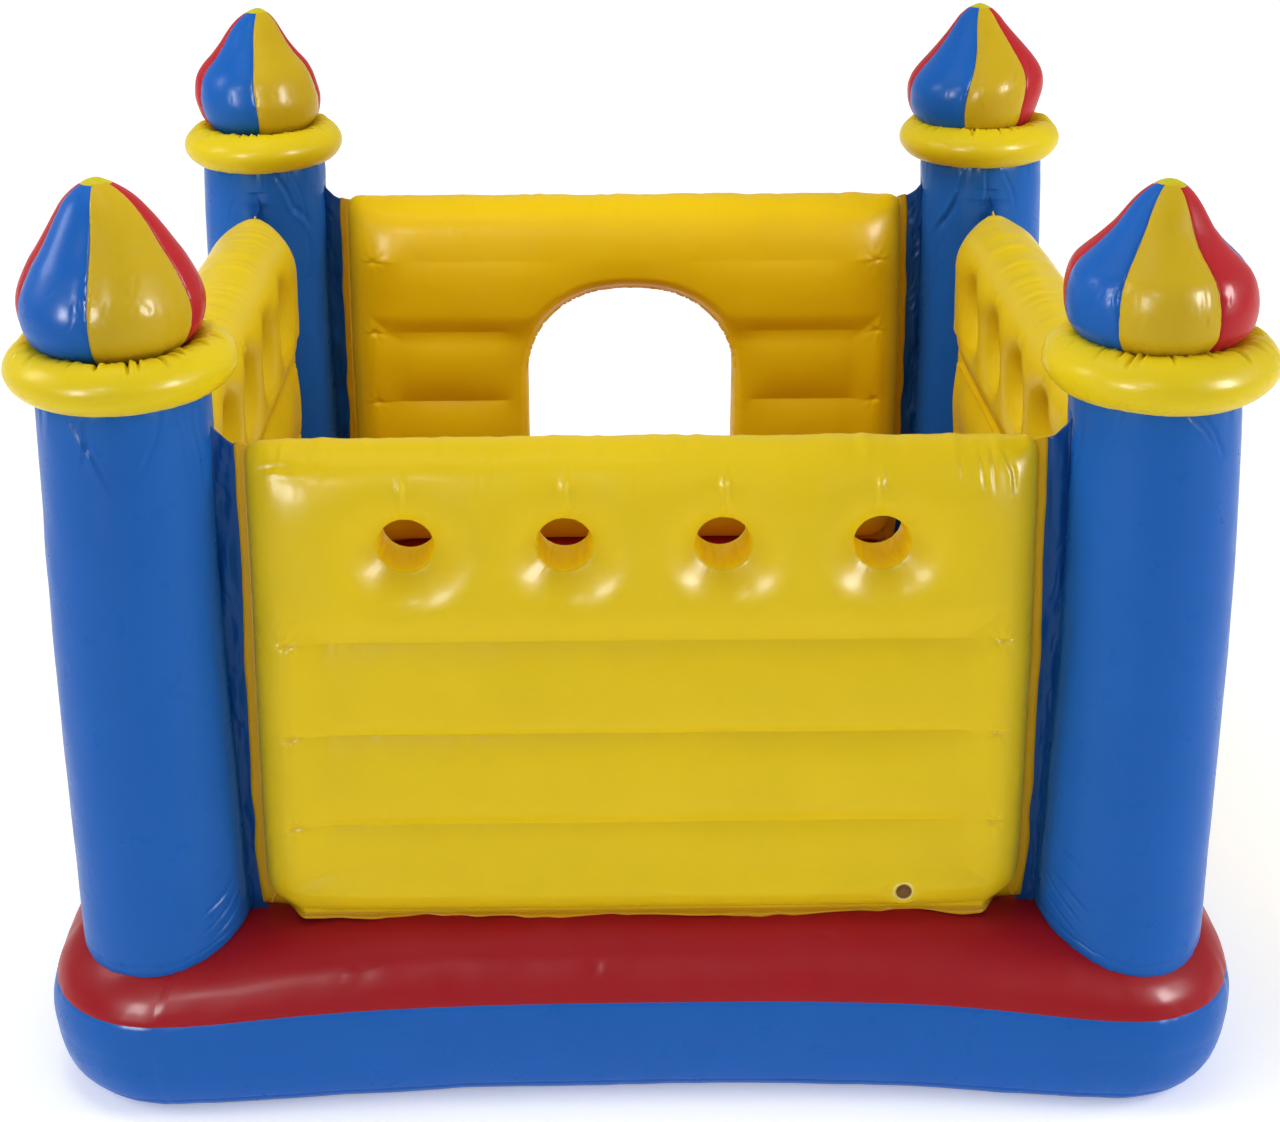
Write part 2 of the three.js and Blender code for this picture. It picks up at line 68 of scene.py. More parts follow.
# -------------------------------------------------------------------- numerics
class Noise:
    """Smooth repeatable noise on a plane, one lattice for each seed."""

    def __init__(self, seed, size=64):
        self.t = np.random.RandomState(seed).uniform(-1, 1, (size, size))
        self.n = size

    def __call__(self, x, y):
        x, y = np.asarray(x, float), np.asarray(y, float)
        xi, yi = np.floor(x).astype(int), np.floor(y).astype(int)
        fx, fy = x - xi, y - yi
        fx, fy = fx * fx * (3 - 2 * fx), fy * fy * (3 - 2 * fy)
        n, t = self.n, self.t
        a, b = t[xi % n, yi % n], t[(xi + 1) % n, yi % n]
        c, d = t[xi % n, (yi + 1) % n], t[(xi + 1) % n, (yi + 1) % n]
        return (a * (1 - fx) + b * fx) * (1 - fy) + (c * (1 - fx) + d * fx) * fy


def smooth(a, b, x):
    t = np.clip((x - a) / (b - a), 0, 1)
    return t * t * (3 - 2 * t)


def stroke(s, z, pts, width, depth, lip=0.55, taper=0.35):
    """A fold drawn along a short line on a surface: a groove with a raised lip
    on one side, fading at both ends. s and z are the surface's coordinates."""
    out = np.zeros(np.broadcast(s, z).shape)
    p = np.array(pts, float)
    seg = np.hypot(*(p[1:] - p[:-1]).T)
    total, gone = seg.sum(), 0.0
    best = np.full(out.shape, 1e9)
    side = np.zeros(out.shape)
    along = np.zeros(out.shape)
    for k in range(len(seg)):
        a, b = p[k], p[k + 1]
        d = (b - a) / seg[k]
        t = np.clip(((s - a[0]) * d[0] + (z - a[1]) * d[1]), 0, seg[k])
        px, pz = s - (a[0] + d[0] * t), z - (a[1] + d[1] * t)
        dist = np.hypot(px, pz)
        sg = px * d[1] - pz * d[0]
        near = dist < best
        best = np.where(near, dist, best)
        side = np.where(near, sg, side)
        along = np.where(near, (gone + t) / total, along)
        gone += seg[k]
    fade = np.sin(np.pi * np.clip(along, 0.02, 0.98)) ** taper
    groove = -np.exp(-((best / width) ** 2))
    ridge = lip * np.exp(-(((side - 1.7 * width) / (1.1 * width)) ** 2)) * (best < 5 * width)
    return depth * fade * (groove + ridge)


def settle(V):
    """The castle stands a little wider below than at its crown, and a little
    more so on the right."""
    V = np.array(V, float)
    x, z = V[..., 0], V[..., 2]
    low = np.clip((1.04 - z) / 0.36, 0, 1) ** 0.8
    V[..., 0] = x + low * (0.0105 * np.clip(x / 0.552, -1, 1) + 0.0040)
    y = V[..., 1]
    base = np.clip((0.30 - z) / 0.10, 0, 1) * np.clip((-y - 0.70) / 0.12, 0, 1)
    V[..., 1] = y + base * (0.004 * np.clip(1 - (x / 0.6) ** 2, 0, 1) - 0.016 * smooth(0.35, 0.80, x))
    return V


# ---------------------------------------------------------------------- meshes
def new_mesh(name, verts, faces, material_index=None, mats=(), flat=False):
    me = bpy.data.meshes.new(name)
    if name != "studio_floor":
        verts = settle(np.asarray(verts).reshape(-1, 3))
    verts = np.ascontiguousarray(verts, np.float32).reshape(-1, 3)
    faces = np.ascontiguousarray(faces, np.int32).reshape(len(faces), -1)
    k = faces.shape[1]
    me.vertices.add(len(verts))
    me.vertices.foreach_set("co", verts.ravel())
    me.loops.add(faces.size)
    me.loops.foreach_set("vertex_index", faces.ravel())
    me.polygons.add(len(faces))
    me.polygons.foreach_set("loop_start", np.arange(0, faces.size, k, dtype=np.int32))
    me.polygons.foreach_set("loop_total", np.full(len(faces), k, np.int32))
    me.polygons.foreach_set("use_smooth", np.full(len(faces), not flat))
    for m in mats:
        me.materials.append(m)
    if material_index is not None:
        me.polygons.foreach_set("material_index", np.asarray(material_index, np.int32))
    me.update(calc_edges=True)
    me.validate()
    ob = bpy.data.objects.new(name, me)
    bpy.context.scene.collection.objects.link(ob)
    return ob


def grid_faces(n, m, ring_n=False, ring_m=False, start=0, flip=False):
    i = np.arange(n if ring_n else n - 1)
    j = np.arange(m if ring_m else m - 1)
    I, J = np.meshgrid(i, j, indexing="ij")
    I2, J2 = (I + 1) % n, (J + 1) % m
    f = np.stack([I * m + J, I2 * m + J, I2 * m + J2, I * m + J2], -1).reshape(-1, 4) + start
    return f[:, ::-1] if flip else f


def outward(ob, centre=None):
    """Turns the faces of a closed or cap-like mesh away from its middle."""
    me = ob.data
    co = np.zeros(len(me.vertices) * 3, np.float32)
    me.vertices.foreach_get("co", co)
    co = co.reshape(-1, 3)
    c = co.mean(0) if centre is None else np.array(centre)
    no = np.zeros(len(me.polygons) * 3, np.float32)
    me.polygons.foreach_get("normal", no)
    ce = np.zeros(len(me.polygons) * 3, np.float32)
    me.polygons.foreach_get("center", ce)
    ar = np.zeros(len(me.polygons), np.float32)
    me.polygons.foreach_get("area", ar)
    if (((ce.reshape(-1, 3) - c) * no.reshape(-1, 3)).sum(1) * ar).sum() < 0:
        me.flip_normals()
    return ob


# ------------------------------------------------------------------- materials
def vinyl(name, colour, rough=0.30, vary=0.05, bump=0.10, coat=0.04, sss=0.0, scale=1.0, spec=0.10, painted_glow=None):
    """Soft glossy PVC film: slight cloudiness in colour, uneven polish and a
    fine calendered skin."""
    m = bpy.data.materials.new(name)
    m.use_nodes = True
    nt = m.node_tree
    nt.nodes.clear()
    out = nt.nodes.new("ShaderNodeOutputMaterial")
    p = nt.nodes.new("ShaderNodeBsdfPrincipled")
    nt.links.new(p.outputs[0], out.inputs[0])
    tc = nt.nodes.new("ShaderNodeTexCoord")
    cloud = nt.nodes.new("ShaderNodeTexNoise")
    cloud.inputs["Scale"].default_value = 7.0 * scale
    cloud.inputs["Detail"].default_value = 4.0
    nt.links.new(tc.outputs["Object"], cloud.inputs["Vector"])
    mix = nt.nodes.new("ShaderNodeMix")
    mix.data_type = "RGBA"
    c = np.array(colour)
    lo, hi = c * (1 - vary), np.minimum(c * (1 + vary) + 0.002, 1)
    mix.inputs[6].default_value = (*lo, 1)
    mix.inputs[7].default_value = (*hi, 1)
    nt.links.new(cloud.outputs["Fac"], mix.inputs[0])
    nt.links.new(mix.outputs[2], p.inputs["Base Color"])
    # polish: broad patches and faint handling streaks
    pol = nt.nodes.new("ShaderNodeTexNoise")
    pol.inputs["Scale"].default_value = 22.0 * scale
    pol.inputs["Detail"].default_value = 6.0
    nt.links.new(tc.outputs["Object"], pol.inputs["Vector"])
    mr = nt.nodes.new("ShaderNodeMapRange")
    mr.inputs["From Min"].default_value = 0.3
    mr.inputs["From Max"].default_value = 0.7
    mr.inputs["To Min"].default_value = rough - 0.045
    mr.inputs["To Max"].default_value = rough + 0.06
    nt.links.new(pol.outputs["Fac"], mr.inputs["Value"])
    nt.links.new(mr.outputs["Result"], p.inputs["Roughness"])
    p.inputs["Specular IOR Level"].default_value = spec
    p.inputs["Coat Weight"].default_value = coat
    p.inputs["Coat Roughness"].default_value = 0.16
    if sss:
        p.inputs["Subsurface Weight"].default_value = sss
        p.inputs["Subsurface Scale"].default_value = 0.01
        p.inputs["Subsurface Radius"].default_value = (1.0, 0.6, 0.25)
    if painted_glow:
        # painted glow: emission that stands in for daylight come through the thin film from the far side
        p.inputs["Emission Color"].default_value = (*painted_glow, 1)
        p.inputs["Emission Strength"].default_value = 1.0
    # skin: slack in the film at hand scale, then its fine grain
    slack = nt.nodes.new("ShaderNodeTexNoise")
    slack.inputs["Scale"].default_value = 16.0 * scale
    slack.inputs["Detail"].default_value = 3.0
    slack.inputs["Roughness"].default_value = 0.45
    nt.links.new(tc.outputs["Object"], slack.inputs["Vector"])
    b1 = nt.nodes.new("ShaderNodeBump")
    b1.inputs["Strength"].default_value = bump
    b1.inputs["Distance"].default_value = 0.004
    nt.links.new(slack.outputs["Fac"], b1.inputs["Height"])
    grain = nt.nodes.new("ShaderNodeTexNoise")
    grain.inputs["Scale"].default_value = 900.0
    grain.inputs["Detail"].default_value = 2.0
    nt.links.new(tc.outputs["Object"], grain.inputs["Vector"])
    b2 = nt.nodes.new("ShaderNodeBump")
    b2.inputs["Strength"].default_value = 0.06
    b2.inputs["Distance"].default_value = 0.0006
    nt.links.new(grain.outputs["Fac"], b2.inputs["Height"])
    nt.links.new(b1.outputs["Normal"], b2.inputs["Normal"])
    nt.links.new(b2.outputs["Normal"], p.inputs["Normal"])
    return m


YELLOW = vinyl("vinyl_yellow", (0.825, 0.590, 0.008), rough=0.33)
# painted light: the back wall uses a brighter, more orange copy of the yellow with a painted glow, for light reaching
# the inside of the enclosure and coming through its film
YELLOW_BACK_WALL_LIT = vinyl("vinyl_yellow_back_wall_painted_light", (0.86, 0.575, 0.003), rough=0.33, painted_glow=(0.055, 0.027, 0.0))
# painted light: the port sleeves carry a painted glow for daylight coming through the film and the openings
YELLOW_SLEEVE_LIT = vinyl("vinyl_yellow_sleeve_painted_light", (0.84, 0.60, 0.008), rough=0.36, spec=0.02, coat=0.0, painted_glow=(0.120, 0.078, 0.0))
YELLOW_ROLL = vinyl("vinyl_yellow_collar", (0.78, 0.590, 0.010), rough=0.30, bump=0.14)
# painted shade: the domes' yellow is a darker copy of the walls' yellow, for the weaker light falling on the domes
YELLOW_GORE_SHADED = vinyl("vinyl_yellow_gore_painted_shade", (0.60, 0.405, 0.011), rough=0.30)
# painted shade: the weld strips and the hem use a darker, more orange copy of the yellow, for the shade they lie in
YELLOW_STRIP_SHADED = vinyl("vinyl_yellow_weld_strip_painted_shade", (0.76, 0.43, 0.006), rough=0.40, bump=0.25, scale=3.0)
YELLOW_CAP = vinyl("vinyl_yellow_cap", (0.60, 0.52, 0.014), rough=0.38, bump=0.25, scale=3.0)
BLUE = vinyl("vinyl_blue", (0.0085, 0.119, 0.490), rough=0.30)
# painted shade: the flaps between towers and walls use a darker copy of the blue, for the shade of the recess they
# hang in
BLUE_FLAP_SHADED = vinyl("vinyl_blue_flap_painted_shade", (0.006, 0.075, 0.305), rough=0.34, bump=0.3, scale=2.0)
# painted shade and painted light: the base's red here and the domes' red below are darker and brighter copies of one
# red vinyl, for the shade inside the walls and the light the domes catch
RED = vinyl("vinyl_red", (0.360, 0.008, 0.014), rough=0.34)
RED_GORE_LIT = vinyl("vinyl_red_gore_painted_light", (0.50, 0.020, 0.026), rough=0.30)
GROUND = vinyl("vinyl_ground_sheet", (0.0085, 0.119, 0.490), rough=0.4, bump=0.2)
VALVE = vinyl("vinyl_valve", (0.17, 0.080, 0.012), rough=0.30, sss=0.0, bump=0.0, coat=0.06, spec=0.15)
VALVE_RING = vinyl("vinyl_valve_ring", (0.86, 0.70, 0.14), rough=0.30, bump=0.1, spec=0.15)

# -------------------------------------------------------------- camera, lights
scene = bpy.context.scene
cam_data = bpy.data.cameras.new("camera")
cam = bpy.data.objects.new("camera", cam_data)
scene.collection.objects.link(cam)
cam.location = (-0.0713, -3.4330, 1.9792)
cam.rotation_euler = (math.pi / 2 - 0.4055, 0.0, -0.0206)
cam_data.sensor_width = 36.0
cam_data.lens = 36.0 * 2141.9 / 1280
cam_data.shift_x = 9.27 / 1280
cam_data.clip_end = 60
scene.camera = cam

world = bpy.data.worlds.new("studio")
scene.world = world
world.use_nodes = True
bg = world.node_tree.nodes["Background"]
bg.inputs[0].default_value = (1, 1, 1, 1)
bg.inputs[1].default_value = 0.463
scene.view_settings.view_transform = "Standard"
scene.view_settings.look = "None"


def softbox(name, at, aim, size, power, colour=(1, 1, 1), shine=True, fill=True):
    d = bpy.data.lights.new(name, "AREA")
    d.shape = "RECTANGLE"
    d.size, d.size_y = size
    d.energy = power
    d.color = colour
    o = bpy.data.objects.new(name, d)
    scene.collection.objects.link(o)
    o.location = at
    v = np.array(aim, float) - np.array(at, float)
    import mathutils
    o.rotation_euler = mathutils.Vector(v).to_track_quat("-Z", "Y").to_euler()
    o.visible_glossy = shine
    o.visible_diffuse = fill
    return o


# broad soft fills, then the windows that are seen mirrored in the film
softbox("top", (-0.8, -0.62, 3.8), (0, 0.2, 0.5), (2.2, 1.2), 38, shine=False)
softbox("left", (-5.5, -1.0, 3.2), (0, 0, 0.6), (2.5, 2.5), 88, shine=False)
softbox("right", (5.5, -1.0, 3.2), (0, 0, 0.6), (2.5, 2.5), 126, shine=False)
softbox("window_left", (-3.1, -4.6, 2.05), (0, -0.7, 0.8), (1.2, 1.5), 430, fill=False)
softbox("window_right", (3.9, -3.2, 2.6), (0, -0.7, 0.8), (1.3, 1.7), 620, fill=False)
softbox("window_front", (-1.6, -4.9, 3.8), (-0.7, -0.7, 1.2), (0.9, 0.7), 80, fill=False)
softbox("window_side", (-3.6, -0.5, 3.0), (-0.6, -0.7, 0.6), (1.0, 1.2), 50, fill=False)

# floor: one wide pale sheet
fn = 60
gx = np.linspace(-30, 30, fn)
GX, GY = np.meshgrid(gx, gx, indexing="ij")
floor = new_mesh("studio_floor", np.stack([GX, GY, np.full_like(GX, -0.0006)], -1), grid_faces(fn, fn))
fm = bpy.data.materials.new("studio_floor_paper")
fm.use_nodes = True
fp = fm.node_tree.nodes["Principled BSDF"]
fp.inputs["Base Color"].default_value = (0.97, 0.97, 0.97, 1)
fp.inputs["Roughness"].default_value = 0.9
fp.inputs["Specular IOR Level"].default_value = 0.0
fp.inputs["Emission Color"].default_value = (1, 1, 1, 1)
# painted light: the paper glows more strongly towards the back of the room
fpos = fm.node_tree.nodes.new("ShaderNodeNewGeometry")
fsep = fm.node_tree.nodes.new("ShaderNodeSeparateXYZ")
fmr = fm.node_tree.nodes.new("ShaderNodeMapRange")
fmr.inputs["From Min"].default_value = 1.2
fmr.inputs["From Max"].default_value = 6.0
fmr.inputs["To Min"].default_value = 0.31
fmr.inputs["To Max"].default_value = 0.62
fm.node_tree.links.new(fpos.outputs["Position"], fsep.inputs[0])
fm.node_tree.links.new(fsep.outputs["Y"], fmr.inputs["Value"])
fm.node_tree.links.new(fmr.outputs["Result"], fp.inputs["Emission Strength"])
floor.data.materials.append(fm)


# ------------------------------------------------------------------------ base
BASE_EDGE, BASE_LOBE, BASE_INNER, BASE_INNER_R = 0.850, 0.025, 0.600, 0.060
SKIRT = [(0.822, 0.0012), (0.862, 0.007), (0.905, 0.020), (0.944, 0.040), (0.974, 0.066), (0.993, 0.094), (1.0, 0.116), (0.995, 0.142), (0.976, 0.170)]
TOP = [(0.976, 0.170), (0.945, 0.195), (0.900, 0.215), (0.840, 0.2325), (0.76, 0.246), (0.66, 0.257), (0.54, 0.2645), (0.40, 0.268), (0.26, 0.2645), (0.14, 0.253), (0.05, 0.236), (0.0, 0.216), (-0.012, 0.200)]


def spline(points, n):
    """Catmull-Rom through the points, sampled evenly along its length."""
    p = np.array(points, float)
    p = np.vstack([2 * p[0] - p[1], p, 2 * p[-1] - p[-2]])
    out = []
    for k in range(1, len(p) - 2):
        t = np.linspace(0, 1, 24, endpoint=False)[:, None]
        a, b, c, d = p[k - 1], p[k], p[k + 1], p[k + 2]
        out.append(0.5 * (2 * b + (c - a) * t + (2 * a - 5 * b + 4 * c - d) * t**2 + (3 * b - a - 3 * c + d) * t**3))
    out = np.vstack(out + [p[-2][None]])
    s = np.r_[0, np.cumsum(np.hypot((out[1:, 0] - out[:-1, 0]) * 0.25, out[1:, 1] - out[:-1, 1]))]
    q = np.linspace(0, s[-1], n)
    return np.stack([np.interp(q, s, out[:, 0]), np.interp(q, s, out[:, 1])], -1)


def base_stations(per_edge=150, per_corner=64):
    """Outer and inner outline points round the base, with the lobe's share,
    the distance into a corner and the outward direction."""
    O, I, W, K = [], [], [], []
    r = BASE_EDGE + BASE_LOBE - TOWER
    c = BASE_INNER - BASE_INNER_R
    for side in range(4):
        s = np.linspace(-1, 1, per_edge, endpoint=False)
        x = s * TOWER
        w = smooth(0, 1, np.abs(s) ** 1.5)
        o = np.stack([x, -(BASE_EDGE + BASE_LOBE * w)], -1)
        i = np.stack([s * c, np.full_like(s, -BASE_INNER)], -1)
        a = -np.pi / 2 + np.pi / 2 * np.linspace(0, 1, per_corner, endpoint=False)
        oc = np.stack([TOWER + r * np.cos(a), -TOWER + r * np.sin(a)], -1)
        ic = np.stack([c + BASE_INNER_R * np.cos(a), -c + BASE_INNER_R * np.sin(a)], -1)
        o, i = np.vstack([o, oc]), np.vstack([i, ic])
        w = np.r_[w, np.ones(per_corner)]
        k = np.r_[np.zeros(per_edge), np.sin(2 * (a + np.pi / 2)) ** 0.5]
        for _ in range(side):
            o, i = np.stack([-o[:, 1], o[:, 0]], -1), np.stack([-i[:, 1], i[:, 0]], -1)
        O.append(o), I.append(i), W.append(w), K.append(k)
    return np.vstack(O), np.vstack(I), np.concatenate(W), np.concatenate(K)


B_O, B_I, B_W, B_K = base_stations()
_d = np.roll(B_O, -1, 0) - np.roll(B_O, 1, 0)
B_S = np.r_[0, np.cumsum(np.hypot(*(B_O[1:] - B_O[:-1]).T))]
B_LEN = B_S[-1] + np.hypot(*(B_O[0] - B_O[-1]))
B_DIR = (B_O - B_I) / np.hypot(*(B_O - B_I).T)[:, None]
B_WIDTH = np.hypot(*(B_O - B_I).T)


def base_z(z, w):
    return z * (1 - 0.08 * w**3 * np.minimum(1, z / 0.16))


def base_grid(profile):
    t, z = profile[:, 0][None, :], profile[:, 1][None, :]
    t = t + 0.036 * B_W[:, None] * np.clip(1 - z / 0.10, 0, 1)
    n = t * B_WIDTH[:, None]
    P = B_I[:, None, :] + B_DIR[:, None, :] * n[..., None]
    Z = base_z(z, B_W[:, None])
    return np.concatenate([P, Z[..., None]], -1)


def normals_of(G, ring=True):
    du = np.roll(G, -1, 0) - np.roll(G, 1, 0)
    dv = np.gradient(G, axis=1)
    n = np.cross(du, dv)
    return n / np.maximum(np.linalg.norm(n, axis=-1, keepdims=True), 1e-12)


_nb1, _nb2, _nb3 = Noise(3), Noise(4), Noise(5)


def seam_puckers(s, across, corner, seed, reach=0.035):
    """Gathers square to a weld: their depth comes and goes along the seam and
    is greatest where the outline turns."""
    a, b, c = Noise(seed), Noise(seed + 1), Noise(seed + 2)
    pitch = 0.016
    wave = a(s / pitch, across / 0.05)
    sharp = np.sign(wave) * np.abs(wave) ** 0.7
    gate = smooth(-0.1, 0.75, b(s / 0.09, 7.3 + 0 * s)) * (0.18 + 0.95 * corner)
    length = reach * (0.55 + 0.5 * c(s / 0.03, 2.1 + 0 * s))
    return sharp * gate * np.exp(-((across / np.maximum(length, 0.008)) ** 2))


def make_base():
    s = B_S[:, None]
    corner = (B_K[:, None]) * 1.0
    out = {}
    for name, pts, n, mat in (("base_skirt_skin", SKIRT, 64, BLUE), ("base_top_skin", TOP, 110, RED)):
        prof = spline(pts, n)
        G = base_grid(prof)
        N = normals_of(G)
        mid = G.mean((0, 1))
        # distance from the red and blue seam along the profile
        L = np.r_[0, np.cumsum(np.linalg.norm(G[0, 1:] - G[0, :-1], axis=-1))]
        across = (L[-1] - L if name == "base_skirt_skin" else L)[None, :]
        foot = (L if name == "base_skirt_skin" else L[-1] - L + 1.0)[None, :]
        d = 0.0022 * seam_puckers(s, across + 0 * s, corner + 0 * across, 40)
        d = d + 0.0016 * seam_puckers(s + 0.007, foot + 0 * s, corner * 0.8 + 0 * across, 60, 0.05) * (name == "base_skirt_skin")
        d = d + 0.0014 * _nb1(s / 0.11 + 0 * across, across / 0.09) * smooth(0.0, 0.03, across) * 0.8
        d = d + 0.0006 * _nb2(s / 0.035, across / 0.05) * smooth(0.0, 0.02, across)
        # the weld itself is a shallow groove
        d = d - 0.0016 * np.exp(-((across / 0.0032) ** 2))
        if name == "base_skirt_skin":
            d = d - 0.0018 * np.exp(-(((L[None, :] - 0.034) / 0.0022) ** 2)) * (1 + 0.3 * _nb3(s / 0.02, 0 * s))
        else:
            # small creases pressed into the top skin
            for (sx, n0, ang, ln, dp) in ((-0.075, 0.040, 1.5, 0.022, 0.0030), (-0.430, 0.050, 1.45, 0.026, 0.0035), (0.265, 0.095, 1.2, 0.02, 0.0012), (0.28, 0.095, 1.7, 0.016, 0.0012), (-0.41, 0.06, 0.6, 0.03, 0.0012)):
                s0 = TOWER + sx
                d = d + stroke(s, across, [(s0, n0), (s0 + ln * math.cos(ang), n0 + ln * math.sin(ang))], 0.0024, dp)
        sign = 1.0 if ((N[10, n // 2, 2] if name == "base_top_skin" else -N[10, n // 2, 1]) > 0) else -1.0
        fade = 1.0 if name == "base_skirt_skin" else smooth(0.0, 0.03, (L[-1] - L))[None, :]
        G = G + N * sign * (d * fade)[..., None]
        G[..., 2] = np.maximum(G[..., 2], 0.0011)
        ob = new_mesh(name, G, grid_faces(len(B_S), n, ring_n=True), mats=[mat])
        me = ob.data
        no = me.polygons[5 * (n - 1) + n // 2].normal
        want = no[2] if name == "base_top_skin" else -no[1]
        if want < 0:
            me.flip_normals()
        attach(ob, "root")
        out[name] = ob
    return out


def base_top_height(x, y):
    """Height of the top skin above a point of the ground plane."""
    x, y = np.asarray(x, float), np.asarray(y, float)
    shape = x.shape
    q = np.stack([x.ravel(), y.ravel()], -1)
    prof = spline(TOP, 160)[::-1]
    step = 2
    O, I, W = B_O[::step], B_I[::step], B_W[::step]
    best = np.full(len(q), 1e9)
    z = np.full(len(q), 0.2)
    D = O - I
    Ln = np.hypot(*D.T)
    U = D / Ln[:, None]
    for k in range(len(O)):
        r = q - I[k]
        t = r @ U[k]
        off = np.abs(r[:, 0] * U[k, 1] - r[:, 1] * U[k, 0])
        near = (off < best) & (t > -0.02) & (t < Ln[k] + 0.02)
        if near.any():
            best[near] = off[near]
            z[near] = base_z(np.interp(t[near] / Ln[k], prof[:, 0], prof[:, 1]), W[k])
    return z.reshape(shape)


base = make_base()
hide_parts("base_skirt")
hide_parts("base_top")


def make_ground():
    """Film welded under the skirt, inside its foot."""
    step = 3
    O, I, W, U, L = B_O[::step], B_I[::step], B_W[::step], B_DIR[::step], B_WIDTH[::step]
    edge = I + U * (L * (0.795 + 0.04 * W))[:, None]
    n = len(edge)
    rings = [(1.0, 0.0), (1.0, 0.0010), (0.7, 0.0010), (0.4, 0.0010), (0.1, 0.0010)]
    top = np.stack([np.stack([edge[:, 0] * f, edge[:, 1] * f, np.full(n, z)], -1) for f, z in rings], 1)
    under = np.stack([np.stack([edge[:, 0] * f, edge[:, 1] * f, np.zeros(n)], -1) for f in (0.1, 0.4, 0.7)], 1)
    G = np.concatenate([top, under], 1)
    ob = new_mesh("ground_film", G, grid_faces(n, G.shape[1], ring_n=True, ring_m=True), mats=[GROUND])
    if ob.data.polygons[1].normal[2] < 0:
        ob.data.flip_normals()
    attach(ob, "root")
    return ob


ground = make_ground()
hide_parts("ground_sheet")


def make_floor():
    """Quilted jump floor: long cells between the webs, tied down along each."""
    lines = [-0.6, -0.36, -0.12, 0.12, 0.36, 0.6]
    nx, ny = 240, 240
    x = np.linspace(-0.603, 0.603, nx)
    y = np.linspace(-0.603, 0.603, ny)
    X, Y = np.meshgrid(x, y, indexing="ij")
    # pull the four corners in to the rounded outline
    cx, cy = np.abs(X) - 0.54, np.abs(Y) - 0.54
    inside = (cx > 0) & (cy > 0)
    r = np.hypot(cx, cy)
    m = np.maximum(cx, cy)
    f = np.where(inside & (r > 1e-9), m / np.maximum(r, 1e-9), 1.0)
    X = np.where(inside, np.sign(X) * (0.54 + cx * f), X)
    Y = np.where(inside, np.sign(Y) * (0.54 + cy * f), Y)
    cell = np.abs(np.mod(Y + 0.12, 0.24) - 0.12) / 0.12
    hump = 1 - cell**2.4
    edge = np.minimum(0.603 - np.abs(X), 0.603 - np.abs(Y))
    e = np.sqrt(np.clip(1 - (1 - np.clip(edge / 0.05, 0, 1)) ** 2, 0, 1))
    n1, n2 = Noise(11), Noise(12)
    Z = 0.1935 + 0.0165 * hump * e + 0.0006 * n1(X / 0.03, Y / 0.03)
    Z += -0.0035 * np.exp(-(((0.12 - np.abs(np.mod(Y, 0.24) - 0.12)) / 0.005) ** 2)) * 0
    Z += 0.0018 * n2(X / 0.022, Y / 0.2) * (cell**3) * smooth(0.0, 0.05, edge)
    ob = new_mesh("jump_floor_skin", np.stack([X, Y, Z], -1), grid_faces(nx, ny), mats=[RED])
    if ob.data.polygons[500].normal[2] < 0:
        ob.data.flip_normals()
    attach(ob, "root")
    return ob


jump = make_floor()
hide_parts("jump_floor")


# ---------------------------------------------------------------------- towers
CORNERS = {"front_left": (-1, -1), "front_right": (1, -1), "back_left": (-1, 1), "back_right": (1, 1)}


def tower_radius(z):
    r = 0.124 - 0.008 * (z - 0.22) / 0.85
    return r


def edge_wave(name, along, z):
    """Sideways waviness of the weld line between a tower flap and a wall; the
    flap and the wall's strip share it."""
    seed = {"front": 0, "left": 10, "right": 20, "back": 30}[name] + (0 if along < 0 else 5)
    n = Noise(200 + seed)
    return 0.0042 * n(z / 0.11, 0.5 + 0 * z) + 0.0016 * n(z / 0.035, 3.5 + 0 * z)


# creases of each tower skin: angle from the camera side (degrees, + to the
# right), height, second angle, second height, width, depth
TOWER_FOLDS = {
    "front_left": [(-38, 1.055, -12, 0.955, .0034, .0022), (-28, 1.06, -30, 0.99, .003, .002), (22, 1.055, 8, 0.985, .0032, .0022), (34, 1.06, 40, 0.97, .003, .0018), (48, 1.04, 56, 0.93, .0035, .002), (20, 0.300, 52, 0.335, .003, .0016), (24, 0.275, 56, 0.318, .0026, .0014), (30, 0.262, 55, 0.292, .0024, .0014), (35, 0.42, 60, 0.40, .003, .0010), (30, 0.50, 55, 0.49, .003, .0008), (-20, 0.70, -10, 0.64, .004, .0007)],
    "front_right": [(30, 1.06, 52, 0.99, .0034, .0026), (22, 1.055, 44, 1.005, .003, .002), (-52, 1.05, -60, 0.94, .0035, .002), (-20, 1.055, -30, 0.99, .003, .0012), (-20, 0.300, -55, 0.345, .003, .0018), (-24, 0.280, -60, 0.33, .0028, .0018), (-28, 0.262, -58, 0.300, .0026, .0016), (-22, 0.36, -58, 0.39, .003, .0012), (-34, 0.44, -62, 0.46, .003, .0010)],
    "back_left": [(10, 1.05, 26, 0.98, .0036, .0028), (24, 1.06, 40, 0.96, .003, .002), (28, 0.985, 46, 0.94, .005, .004), (-30, 1.05, -38, 0.97, .003, .0015), (40, 0.93, 44, 0.80, .004, .003), (50, 0.80, 46, 0.62, .004, .002)],
    "back_right": [(-14, 1.05, -26, 0.98, .0036, .0028), (6, 1.06, 4, 0.98, .0032, .0026), (24, 1.05, 36, 0.985, .0034, .0025), (-22, 0.99, -44, 0.93, .005, .004), (-44, 0.92, -46, 0.80, .004, .003), (-36, 0.97, -34, 0.90, .003, .0025)],
}


